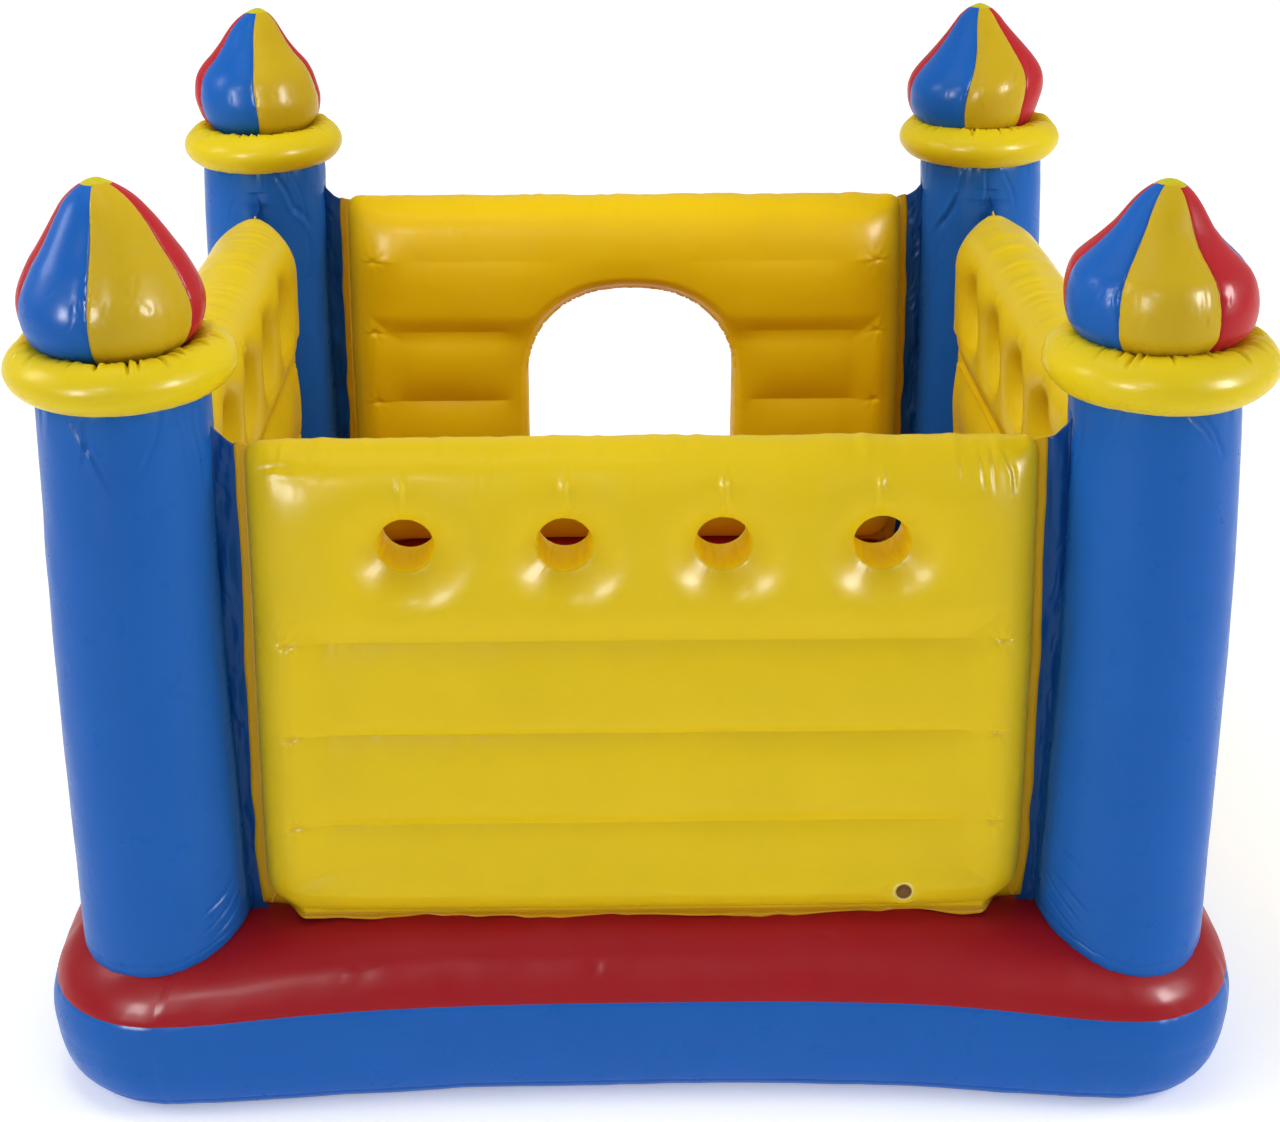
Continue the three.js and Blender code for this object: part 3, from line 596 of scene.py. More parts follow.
def make_tower(name, sx, sy):
    cx, cy = sx * TOWER, sy * TOWER
    face = math.atan2(cam.location[1] - cy, cam.location[0] - cx)
    n, m = 220, 260
    th = np.linspace(0, 2 * np.pi, n, endpoint=False)
    TH = th[:, None] + np.zeros((1, m))
    ztop = 1.0685
    fwd = {"front_left": -0.011, "front_right": -0.018}.get(name, 0.0)
    foot = base_top_height(cx + 0.1235 * np.cos(th), cy + fwd + 0.1235 * np.sin(th)) - 0.0015
    t = np.r_[np.linspace(0, 0.10, 60, endpoint=False), np.linspace(0.10, 0.90, 130, endpoint=False), np.linspace(0.90, 1, 70)]
    Z = foot[:, None] + t[None, :] * (ztop - foot[:, None])
    R = tower_radius(Z)
    up = Z - foot[:, None]
    down = ztop - Z
    seed = 70 + 7 * (sx > 0) + 13 * (sy > 0)
    n1, n2, n3, n4 = Noise(seed), Noise(seed + 1), Noise(seed + 2), Noise(seed + 3)
    k = n / (2 * np.pi)
    A = TH * 10 / np.pi  # twenty lattice cells round the tube: wraps cleanly
    per = 20

    def wrap(noise, a, b, cells):
        # periodic in the first argument
        a = np.mod(a, cells)
        w = smooth(cells - 1, cells, a)
        return noise(a, b) * (1 - w) + noise(a - cells, b) * w

    d = 0.0010 * wrap(n1, TH / (2 * np.pi) * 9, Z / 0.16, 9)
    d += 0.0005 * wrap(n2, TH / (2 * np.pi) * 24, Z / 0.06, 24)
    # gathers under the collar and above the foot weld
    g1 = wrap(n3, TH / (2 * np.pi) * 52, Z / 0.12, 52)
    g2 = 0.5 + 0.5 * wrap(n4, TH / (2 * np.pi) * 13, 0 * Z + 2.2, 13)
    d += -0.0030 * np.abs(g1) * np.exp(-((down / (0.020 + 0.022 * g2)) ** 2)) * (0.35 + g2)
    g3 = wrap(n4, TH / (2 * np.pi) * 44, Z / 0.10 + 9, 44)
    d += -0.0016 * np.abs(g3) * np.exp(-((np.maximum(up - 0.02, 0) / 0.018) ** 2)) * (0.2 + g2)
    # foot: the hem turns in and its weld shows as a groove a little above it
    d += -0.0055 * np.exp(-(up / 0.007)) - 0.0011 * np.exp(-(((up - 0.021) / 0.0018) ** 2))
    # tuck under the collar
    d += -0.004 * np.exp(-(down / 0.006))
    # the side of the tube is drawn in along each flap
    for ang in ((0 if sx < 0 else np.pi), (np.pi / 2 if sy < 0 else -np.pi / 2)):
        da = np.angle(np.exp(1j * (TH - ang)))
        d += -0.0035 * np.exp(-((da / 0.10) ** 2)) * smooth(0.0, 0.05, up) * (Z < 1.02)
        d += -0.0014 * np.abs(n2(Z / 0.018, np.abs(da) / 0.35 + 3)) * np.exp(-((np.abs(da) - 0.12) / 0.22) ** 2) * (Z < 1.0)
    S = np.angle(np.exp(1j * (TH - face))) * 0.118
    for (a0, z0, a1, z1, wd, dp) in TOWER_FOLDS[name]:
        d += stroke(S, Z, [(math.radians(a0) * 0.118, z0), (math.radians((a0 + a1) / 2 + 2) * 0.118, (z0 + z1) / 2), (math.radians(a1) * 0.118, z1)], wd, dp)
    R = R + d
    X, Y = cx + R * np.cos(TH), cy + fwd * np.clip((1.0 - Z) / 0.78, 0, 1) + R * np.sin(TH)
    G = np.stack([X, Y, Z], -1)
    # cap rows across the top, under the dome
    caps = []
    for f, dz in ((0.93, 0.001), (0.75, 0.003), (0.45, 0.004), (0.15, 0.004)):
        r = 0.112 * f
        caps.append(np.stack([cx + r * np.cos(th), cy + r * np.sin(th), np.full(n, ztop + dz)], -1))
    G = np.concatenate([G, np.stack(caps, 1)], 1)
    ob = new_mesh("tower_skin_" + name, G, grid_faces(n, m + len(caps), ring_n=True), mats=[BLUE])
    no, ce = ob.data.polygons[m // 2].normal, ob.data.polygons[m // 2].center
    if no[0] * (ce[0] - cx) + no[1] * (ce[1] - cy) < 0:
        ob.data.flip_normals()
    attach(ob, "root")
    return ob


def wall_flare(z):
    """How far the front wall's ends spread towards its foot."""
    return 0.0075 * smooth(0.80, 0.30, z)


def make_flap(name, sx, sy, wall):
    """Blue sheet from the tower's side to the weld strip of a wall."""
    n, m = 26, 230
    s = np.linspace(0, 1, n)[:, None]      # 0 at the wall, 1 inside the tower
    zz = np.linspace(0, 1, m)[None, :]
    u = 0.5405 + (TOWER - 0.112 - 0.5405) * s + 0 * zz
    side = {"front": sx, "back": -sx, "left": -sy, "right": sy}[wall]
    if wall in ("front", "back"):
        px, py = sx * u, np.full_like(u, sy * TOWER)
    else:
        px, py = np.full_like(u, sx * TOWER), sy * u
    lo = base_top_height(px[:, 0], py[:, 0])[:, None] - 0.010
    hi = 0.981 + 0.030 * s**2.2
    Z = lo + (hi - lo) * zz
    seed = 300 + 11 * (sx > 0) + 23 * (sy > 0) + (41 if wall in ("left", "right") else 0)
    n1, n2, n3 = Noise(seed), Noise(seed + 1), Noise(seed + 2)
    free = np.clip((u - 0.5545) / (TOWER - 0.112 - 0.5545), 0, 1)
    mid = np.sin(np.pi * free) ** 0.8
    w = 0.0060 * n1(Z / 0.10, s * 1.7) + 0.0035 * n2(Z / 0.034 + s * 1.2, s * 3) + 0.0022 * np.abs(n3(Z / 0.02 - s * 2, s * 5))
    off = w * mid + edge_wave(wall, side, Z) * (1 - free)
    if wall == "front":
        px, py = px + 0 * Z, py - off
    elif wall == "back":
        px, py = px + 0 * Z, py + off
    elif wall == "left":
        px, py = px - off, py + 0 * Z
    else:
        px, py = px + off, py + 0 * Z
    if wall == "front":
        px = px + sx * wall_flare(Z) * (1 - free)
    G = np.stack([px, py, Z], -1)
    axis = np.array([0, -1, 0]) if wall in ("front", "back") else np.array([-1, 0, 0])
    T = 0.0004
    V = np.concatenate([(G + axis * T).reshape(-1, 3), (G - axis * T).reshape(-1, 3)])
    f1 = grid_faces(n, m)
    f2 = grid_faces(n, m, start=n * m, flip=True)
    rim = []
    idx = lambda i, j: i * m + j
    for j in range(m - 1):
        rim.append((idx(0, j + 1), idx(0, j), idx(0, j) + n * m, idx(0, j + 1) + n * m))
        rim.append((idx(n - 1, j), idx(n - 1, j + 1), idx(n - 1, j + 1) + n * m, idx(n - 1, j) + n * m))
    for i in range(n - 1):
        rim.append((idx(i, 0), idx(i + 1, 0), idx(i + 1, 0) + n * m, idx(i, 0) + n * m))
        rim.append((idx(i + 1, m - 1), idx(i, m - 1), idx(i, m - 1) + n * m, idx(i + 1, m - 1) + n * m))
    ob = new_mesh(f"tower_flap_{name}_{wall}", V, np.vstack([f1, f2, np.array(rim)]), mats=[BLUE_FLAP_SHADED])
    ob.data.calc_loop_triangles()
    import bmesh
    bm = bmesh.new()
    bm.from_mesh(ob.data)
    bmesh.ops.recalc_face_normals(bm, faces=bm.faces)
    bm.to_mesh(ob.data)
    bm.free()
    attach(ob, "root")
    return ob


for name, (sx, sy) in CORNERS.items():
    t = make_tower(name, sx, sy)
    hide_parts("tower_" + name)
    for wall in (("front" if sy < 0 else "back"), ("left" if sx < 0 else "right")):
        f = make_flap(name, sx, sy, wall)


# --------------------------------------------------------------------- collars
COLLAR_SET = {
    "front_left": dict(dx=0.0015, dz=-0.0030, Rc=0.1190, tube=0.0335, seam=2.3),
    "front_right": dict(dx=0.0020, dz=-0.0085, Rc=0.1190, tube=0.0375, seam=-0.42),
    "back_left": dict(dx=0.0010, dz=-0.0090, Rc=0.1140, tube=0.0350, seam=1.2),
    "back_right": dict(dx=-0.0060, dz=-0.0050, Rc=0.1160, tube=0.0350, seam=2.6),
}


def make_collar(name, sx, sy, dx, dz, Rc, tube, seam):
    cx, cy = sx * TOWER + dx, sy * TOWER
    n, m = 640, 64
    th = np.linspace(0, 2 * np.pi, n, endpoint=False)[:, None]
    ph = np.linspace(0, 2 * np.pi, m, endpoint=False)[None, :]
    seed = 120 + 7 * (sx > 0) + 13 * (sy > 0)
    n1, n2, n3 = Noise(seed), Noise(seed + 1), Noise(seed + 2)

    def wrap(noise, a, b, cells):
        a = np.mod(a, cells)
        w = smooth(cells - 1, cells, a)
        return noise(a, b) * (1 - w) + noise(a - cells, b) * w

    c = th / (2 * np.pi)
    r = tube + 0.0010 * wrap(n1, c * 9, 0 * ph, 9) + 0 * ph
    dph = np.angle(np.exp(1j * (ph - np.pi)))  # 0 on the side towards the axis
    # soft gathers over the inner and upper face
    g = wrap(n2, c * 54, dph * 0.8, 54)
    reach_up = np.exp(-((np.abs(dph) / (1.35 + 0.45 * wrap(n1, c * 40, 0 * ph + 4.1, 40))) ** 2))
    r = r - 0.0046 * np.abs(g) ** 0.9 * reach_up
    # sharp creases running outwards over the crown from the dome's foot
    rs = np.random.RandomState(seed + 9)
    k = 0
    a0 = rs.uniform(0, 0.2)
    while a0 < 2 * np.pi:
        side = abs(math.sin(a0))  # packed closer where the tube faces sideways
        w = rs.uniform(0.0014, 0.0024)
        top_end = rs.uniform(1.45, 2.55)
        dp = rs.uniform(0.0030, 0.0070)
        skew = rs.normal() * 0.03
        da = np.angle(np.exp(1j * (th - a0 - skew * np.abs(dph)))) * 0.105
        on = np.exp(-((da / w) ** 2)) - 0.45 * np.exp(-(((da - 1.9 * w) / (1.2 * w)) ** 2))
        up_side = (dph < 0) | (np.abs(dph) < 0.7)
        fade = smooth(top_end, top_end - 0.6, np.abs(dph)) * up_side
        r = r - dp * on * fade
        a0 += rs.uniform(0.05, 0.17) * (0.55 + 0.75 * side)
    # scalloped under edge with small nicks
    low = np.angle(np.exp(1j * (ph + np.pi / 2 + 0.25)))
    g2 = wrap(n2, c * 46 + 5.0, 0 * ph + 8.8, 46)
    r = r - 0.0030 * np.clip(g2, 0, 1) * np.exp(-((low / 0.42) ** 2))
    for _ in range(16):
        a1 = rs.uniform(0, 2 * np.pi)
        da = np.angle(np.exp(1j * (th - a1))) * 0.12
        r = r - rs.uniform(0.001, 0.004) * np.exp(-((da / rs.uniform(0.0015, 0.004)) ** 2)) * np.exp(-((low / 0.30) ** 2))
    # overlap of the tube's two ends
    ds = np.angle(np.exp(1j * (th - seam))) * 0.12
    r = r - 0.0015 * np.exp(-((ds / 0.0018) ** 2)) + 0.0009 * np.exp(-(((ds - 0.006) / 0.004) ** 2))
    sq = 1.0 + 0.05 * np.cos(2 * ph)  # slightly wider than tall
    R = Rc + r * sq * np.cos(ph)
    Z = 1.103 + dz + r * (2 - sq) * np.sin(ph) + 0.002 * np.sin(th + seed)
    G = np.stack([cx + R * np.cos(th), cy + R * np.sin(th), Z + 0 * R], -1)
    ob = new_mesh("collar_skin_" + name, G, grid_faces(n, m, ring_n=True, ring_m=True), mats=[YELLOW_ROLL])
    no, ce = ob.data.polygons[0].normal, ob.data.polygons[0].center
    if no[0] * (ce[0] - cx) + no[1] * (ce[1] - cy) < 0:
        ob.data.flip_normals()
    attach(ob, "root")
    return ob


# ----------------------------------------------------------------------- domes
# offset of the dome's middle, radius, angle of its blue and yellow seam, lean
# of the tip
DOME_SET = {
    "front_left": dict(R=0.1240, seams=(-163, -93, -15, 42, 98, 147), prof=[(1.117, .70, -5), (1.130, .83, -5), (1.143, .925, -5), (1.163, .985, -5), (1.185, 1.0, -5.2), (1.208, .955, -5.2), (1.237, .84, -4.7), (1.257, .735, -4.2), (1.277, .63, -4), (1.298, .515, -5), (1.318, .39, -6.9), (1.331, .27, -8), (1.340, .155, -9), (1.3455, .06, -9), (1.3465, .004, -9)]),
    "front_right": dict(R=0.1300, seams=(-188, -129, -64, -5, 56, 114), prof=[(1.117, .70, -6), (1.130, .83, -6), (1.143, .92, -6), (1.157, .978, -6), (1.184, 1.0, -7), (1.208, .972, -8.5), (1.2255, .91, -9.7), (1.239, .81, -10), (1.253, .69, -11), (1.266, .59, -11), (1.280, .495, -10.5), (1.308, .345, -9.6), (1.324, .23, -8.5), (1.334, .12, -8), (1.3375, .05, -8), (1.338, .004, -8)]),
    "back_left": dict(R=0.1195, seams=(-156, -84.5, 2, 54, 104, 155), prof=[(1.117, .70, -2), (1.130, .82, -1), (1.143, .92, 0), (1.160, .975, 0), (1.180, 1.0, -3), (1.200, .98, -5), (1.221, .935, -6.5), (1.241, .84, -4.5), (1.261, .69, -4), (1.281, .555, -3.5), (1.301, .445, -3), (1.321, .325, 0), (1.334, .21, 3), (1.342, .10, 5), (1.3448, .04, 6), (1.345, .004, 6)]),
    "back_right": dict(R=0.1290, seams=(-180, -106, -46.5, 14, 70, 125), prof=[(1.117, .70, -20), (1.130, .82, -22), (1.140, .89, -23), (1.156, .946, -25), (1.176, .985, -24), (1.196, 1.0, -21), (1.216, .97, -17), (1.236, .884, -12.5), (1.257, .755, -11.5), (1.277, .62, -13), (1.297, .485, -15.5), (1.317, .36, -18.5), (1.327, .30, -19), (1.340, .19, -19), (1.347, .09, -19), (1.3497, .035, -19), (1.350, .004, -19)]),
}


def make_dome(name, sx, sy, R, seams, prof):
    cx, cy = sx * TOWER, sy * TOWER
    per = 56
    n = per * 6
    # sample points bunch towards the seams
    u = np.linspace(0, 1, per, endpoint=False)
    ub = 0.5 - 0.5 * np.cos(np.pi * u)
    uu = 0.4 * u + 0.6 * ub
    sm = np.radians(list(seams) + [seams[0] + 360])
    th = np.concatenate([sm[k] + uu * (sm[k + 1] - sm[k]) for k in range(6)])
    span = np.repeat(sm[1:] - sm[:-1], per)[:, None]
    q = np.concatenate([uu] * 6)
    p2 = spline([(a_, z_) for (z_, a_, _) in prof], 150)
    rr, zz = np.maximum(p2[:, 0], 0.003) * R, p2[:, 1]
    dx = np.interp(zz, [p_[0] for p_ in prof], [p_[2] for p_ in prof]) * 0.001
    dx = np.convolve(np.pad(dx, 8, mode="edge"), np.ones(17) / 17, mode="valid")
    m = len(rr)
    TH, Q = th[:, None] + np.zeros((1, m)), q[:, None] + np.zeros((1, m))
    Rr, Z = rr[None, :] + 0 * TH, zz[None, :] + 0 * TH
    # each gore bellies out between its welds
    belly = 4 * Q * (1 - Q)
    arc = (np.sqrt(np.clip(1 - (2 * Q - 1) ** 2, 0, 1)) * 0.35 + belly * 0.65)
    up = (zz - zz[0]) / (zz[-1] - zz[0])
    lift = np.interp(up, [0, 0.12, 0.35, 0.65, 0.88, 1.0], [0.03, 0.05, 0.075, 0.11, 0.06, 0.0])[None, :]
    Rm = Rr * (1 - lift * (1 - arc))
    seed = 160 + 7 * (sx > 0) + 13 * (sy > 0)
    n1, n2, n3 = Noise(seed), Noise(seed + 1), Noise(seed + 2)
    dseam = np.minimum(Q, 1 - Q) * span * np.maximum(Rr, 0.01)
    gid = np.repeat(np.arange(6), per)[:, None]
    L = np.r_[0, np.cumsum(np.hypot(np.diff(rr), np.diff(zz)))][None, :]
    # gathers square to the welds, most where the profile turns
    bulge = np.exp(-((Z - 1.195) / 0.035) ** 2)
    g = n1(L / 0.010 + 11 * gid, dseam / 0.03)
    d = -0.0018 * np.abs(g) * np.exp(-(dseam / 0.009)) * (0.25 + bulge)
    # short upright slack creases round the belly, like scratches in the shine
    rs = np.random.RandomState(seed + 5)
    S0 = TH * R
    for _ in range(64):
        a0 = rs.uniform(sm[0], sm[6]) * R
        z0 = 1.197 + rs.normal() * 0.011
        ln = rs.uniform(0.008, 0.028)
        tl = rs.normal() * 0.12
        wd = rs.uniform(0.0011, 0.0020)
        dp = rs.uniform(0.0003, 0.0010)
        near = (np.abs(S0 - a0) < 0.012) & (np.abs(Z - z0) < 0.03)
        if near.any():
            d[near] += stroke(S0[near], Z[near], [(a0 - tl * ln, z0 - ln / 2), (a0 + tl * ln, z0 + ln / 2)], wd, dp, lip=0.5)
    for _ in range(10):
        a0 = rs.uniform(sm[0], sm[6]) * R
        z0 = rs.uniform(1.22, 1.27)
        ln = rs.uniform(0.010, 0.024)
        near = (np.abs(S0 - a0) < 0.03) & (np.abs(Z - z0) < 0.03)
        if near.any():
            d[near] += stroke(S0[near], Z[near], [(a0 - ln * 0.4, z0 - ln / 2), (a0 + ln * 0.4, z0 + ln / 2)], 0.0022, 0.0008)
    # creases where the belly tucks down into the collar
    d += -0.0022 * np.abs(n2(TH * 14, 0.5 + L / 0.06)) * np.exp(-(((Z - 1.135) / 0.016) ** 2))
    # weld line
    d += -0.0011 * np.exp(-((dseam / 0.0016) ** 2))
    Rm = Rm + d * smooth(0.0, 0.02, Rr)
    G = np.stack([cx + dx[None, :] + Rm * np.cos(TH), cy + Rm * np.sin(TH), Z], -1)
    f = grid_faces(n, m, ring_n=True)
    gore = (np.arange(n) // per)[:, None] + np.zeros((1, m - 1), int)
    # going round with rising angle: blue, yellow, red, blue, yellow, red
    col = np.array([0, 1, 2, 0, 1, 2])[gore % 6]
    edge = 0.0195 + 0.0022 * np.sin(gore * 2.1 + seed)
    col = np.where(rr[None, :-1] < edge, 3, col)
    ob = new_mesh("dome_skin_" + name, G, f, material_index=col.reshape(-1), mats=[BLUE, YELLOW_GORE_SHADED, RED_GORE_LIT, YELLOW_CAP])
    no, ce = ob.data.polygons[m // 3].normal, ob.data.polygons[m // 3].center
    if no[0] * (ce[0] - cx) + no[1] * (ce[1] - cy) < 0:
        ob.data.flip_normals()
    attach(ob, "root")
    return ob


for name, (sx, sy) in CORNERS.items():
    c = make_collar(name, sx, sy, **COLLAR_SET[name])
    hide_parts("collar_" + name)
    d = make_dome(name, sx, sy, **DOME_SET[name])
    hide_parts("dome_" + name)


# ----------------------------------------------------------------------- walls
def rounded_distance(u, z, rb, rt):
    """Distance inside the puffed outline, whose lower corners have radius rb
    and upper corners rt, and the direction to the nearest edge."""
    zc = (PUFF_Z0 + SEAM_TOP) / 2
    hz = (SEAM_TOP - PUFF_Z0) / 2
    r = np.where(z < zc, rb, rt)
    qx = np.abs(u) - (WALL_IN - r)
    qz = np.abs(z - zc) - (hz - r)
    ox, oz = np.maximum(qx, 0), np.maximum(qz, 0)
    out = np.hypot(ox, oz)
    d = -(out + np.minimum(np.maximum(qx, qz), 0) - r)
    gx = np.where(out > 0, ox / np.maximum(out, 1e-12), (qx > qz).astype(float)) * np.sign(u)
    gz = np.where(out > 0, oz / np.maximum(out, 1e-12), (qx <= qz).astype(float)) * np.sign(z - zc)
    return d, gx, gz


def arch_distance(u, z):
    """Signed distance outside the doorway's outline (positive outside)."""
    u = (u + 0.009) * (ARCH_R / 0.203)
    up = z > ARCH_SPRING
    q = 2.3
    d_round = (np.abs(u) ** q + np.abs(z - ARCH_SPRING) ** q) ** (1 / q) - ARCH_R
    rc = 0.045
    zc, hz = (ARCH_SILL + ARCH_SPRING + 0.2) / 2, (ARCH_SPRING + 0.2 - ARCH_SILL) / 2
    qx, qz = np.abs(u) - (ARCH_R - rc), np.abs(z - zc) - (hz - rc)
    d_box = np.hypot(np.maximum(qx, 0), np.maximum(qz, 0)) + np.minimum(np.maximum(qx, qz), 0) - rc
    return np.where(up, d_round, d_box)


H0 = 0.004


def solve_wall(webs, ports, arch):
    """Inflated half depth squared on a regular grid: tied to nothing at the
    outline, to the webs' depth along each web and to the sleeves' depth at the
    round ports and the doorway."""
    us = np.arange(-WALL_IN, WALL_IN + 1e-6, H0)
    zs = np.arange(PUFF_Z0, SEAM_TOP + 1e-6, H0)
    U, Z = np.meshgrid(us, zs, indexing="ij")
    d, _, _ = rounded_distance(U, Z, 0.048, 0.020)
    fixed = d <= H0 * 0.5
    val = np.zeros_like(U)
    for (zw, u0, u1) in webs:
        j = int(round((zw - PUFF_Z0) / H0))
        on = (us >= u0) & (us <= u1)
        # the web's ends narrow where it stops
        endd = np.minimum(us - u0, u1 - us)
        if arch and (u0 > -0.3 or u1 < 0.3):
            endd = np.where(np.abs(us) < 0.35, 1.0, endd)
        half = (0.0665 if arch else WEB_HALF) * np.clip(0.86 + 0.14 * endd / 0.03, 0.86, 1.0)
        fixed[on, j] = True
        val[on, j] = half[on] ** 2
    if ports:
        for x in PORT_XS:
            r = np.hypot(U - x, Z - PORT_Z)
            on = r <= PORT_R
            fixed |= on
            val = np.where(on, PORT_HALF**2, val)
    if arch:
        on = arch_distance(U, Z) <= 0
        fixed |= on
        val = np.where(on, 0.055**2, val)
    f = 1.02
    phi = val.copy()
    phi[~fixed] = 0.004
    # successive over-relaxation, red and black in turn
    I, J = np.indices(phi.shape)
    w = 1.94
    free = ~fixed
    for colour_ in range(1):
        masks = [free & ((I + J) % 2 == c) for c in (0, 1)]
    # the tall top lobe is cut slacker than the bands below it
    src = np.where(Z > 0.705, 0.60, f) * H0 * H0
    src = src[1:-1, 1:-1]
    for it in range(420):
        for mk in masks:
            s = np.zeros_like(phi)
            s[1:-1, 1:-1] = (phi[2:, 1:-1] + phi[:-2, 1:-1] + phi[1:-1, 2:] + phi[1:-1, :-2] + src) / 4
            phi = np.where(mk, phi + w * (s - phi), phi)
    return us, zs, np.maximum(phi, 0)


def sample(us, zs, F, u, z):
    a = np.clip((u - us[0]) / H0, 0, len(us) - 1.001)
    b = np.clip((z - zs[0]) / H0, 0, len(zs) - 1.001)
    i, j = a.astype(int), b.astype(int)
    fa, fb = a - i, b - j
    return (F[i, j] * (1 - fa) + F[i + 1, j] * fa) * (1 - fb) + (F[i, j + 1] * (1 - fa) + F[i + 1, j + 1] * fa) * fb


def half_depth(sol, u, z, ports, arch, full=False):
    us, zs, F = sol
    d, gx, gz = rounded_distance(u, z, 0.048, 0.020)
    deep = 0.010
    k = np.clip(deep - d, 0, None)
    val = sample(us, zs, F, u - gx * k, z - gz * k) * np.clip(d / deep, 0, 1)
    val = np.where(d < deep, val, sample(us, zs, F, u, z))
    h = np.sqrt(np.maximum(val, 0))
    # blunt crown and ends: the panels' fullness gathers there
    w = np.maximum(smooth(0.705, 0.77, z), smooth(0.43, 0.50, np.abs(u)))
    if not arch:
        w = np.maximum(w, smooth(0.36, 0.31, z))
    if arch:
        w = w * smooth(0.0, 0.030, arch_distance(u, z))
    top = 0.092
    g = top * (1 - (1 - np.clip(h / top, 0, 1)) ** 1.7)
    h = h + w * (g - h)
    if full:
        a = np.sqrt(np.clip(1 - (1 - np.clip((SEAM_TOP - z) / 0.088, 0, 1)) ** 2, 0, 1))
        b = np.sqrt(np.clip(1 - (1 - np.clip((WALL_IN - np.abs(u)) / 0.075, 0, 1)) ** 2, 0, 1))
        e = 0.081 * a * b * smooth(0.70, 0.78, z)
        h = np.maximum(h, e)
    if ports:
        # each porthole sits in a dish whose lip rolls into the sleeve
        for x in PORT_XS:
            r = np.hypot(u - x, z - PORT_Z)
            t = np.clip((r - PORT_R) / 0.080, 0, 1)
            S = 1 - (1 - t) ** 2.5
            rim = 0.0435
            h = np.where(t < 1, rim + (h - rim) * S, h)
    return h, d


def axis_samples(step, lo_in, hi_in, anchor, extra=(), lo_out=(), hi_out=()):
    """Even samples that pass through anchor, graded towards the two ends."""
    k0 = math.ceil((lo_in + 0.012 - anchor) / step)
    k1 = math.floor((hi_in - 0.012 - anchor) / step)
    mid = [anchor + step * k for k in range(k0, k1 + 1)]
    grade = [0.0, 0.0004, 0.0014, 0.0032, 0.006, 0.0095]
    a = [lo_in + g for g in grade] + mid + [hi_in - g for g in reversed(grade)]
    a = list(lo_out) + a + list(hi_out)
    for e in extra:
        a = [x for x in a if abs(x - e) > step * 0.3] + [e - 0.0011, e, e + 0.0011]
    return np.array(sorted(a))


WALL_WAVE = {}


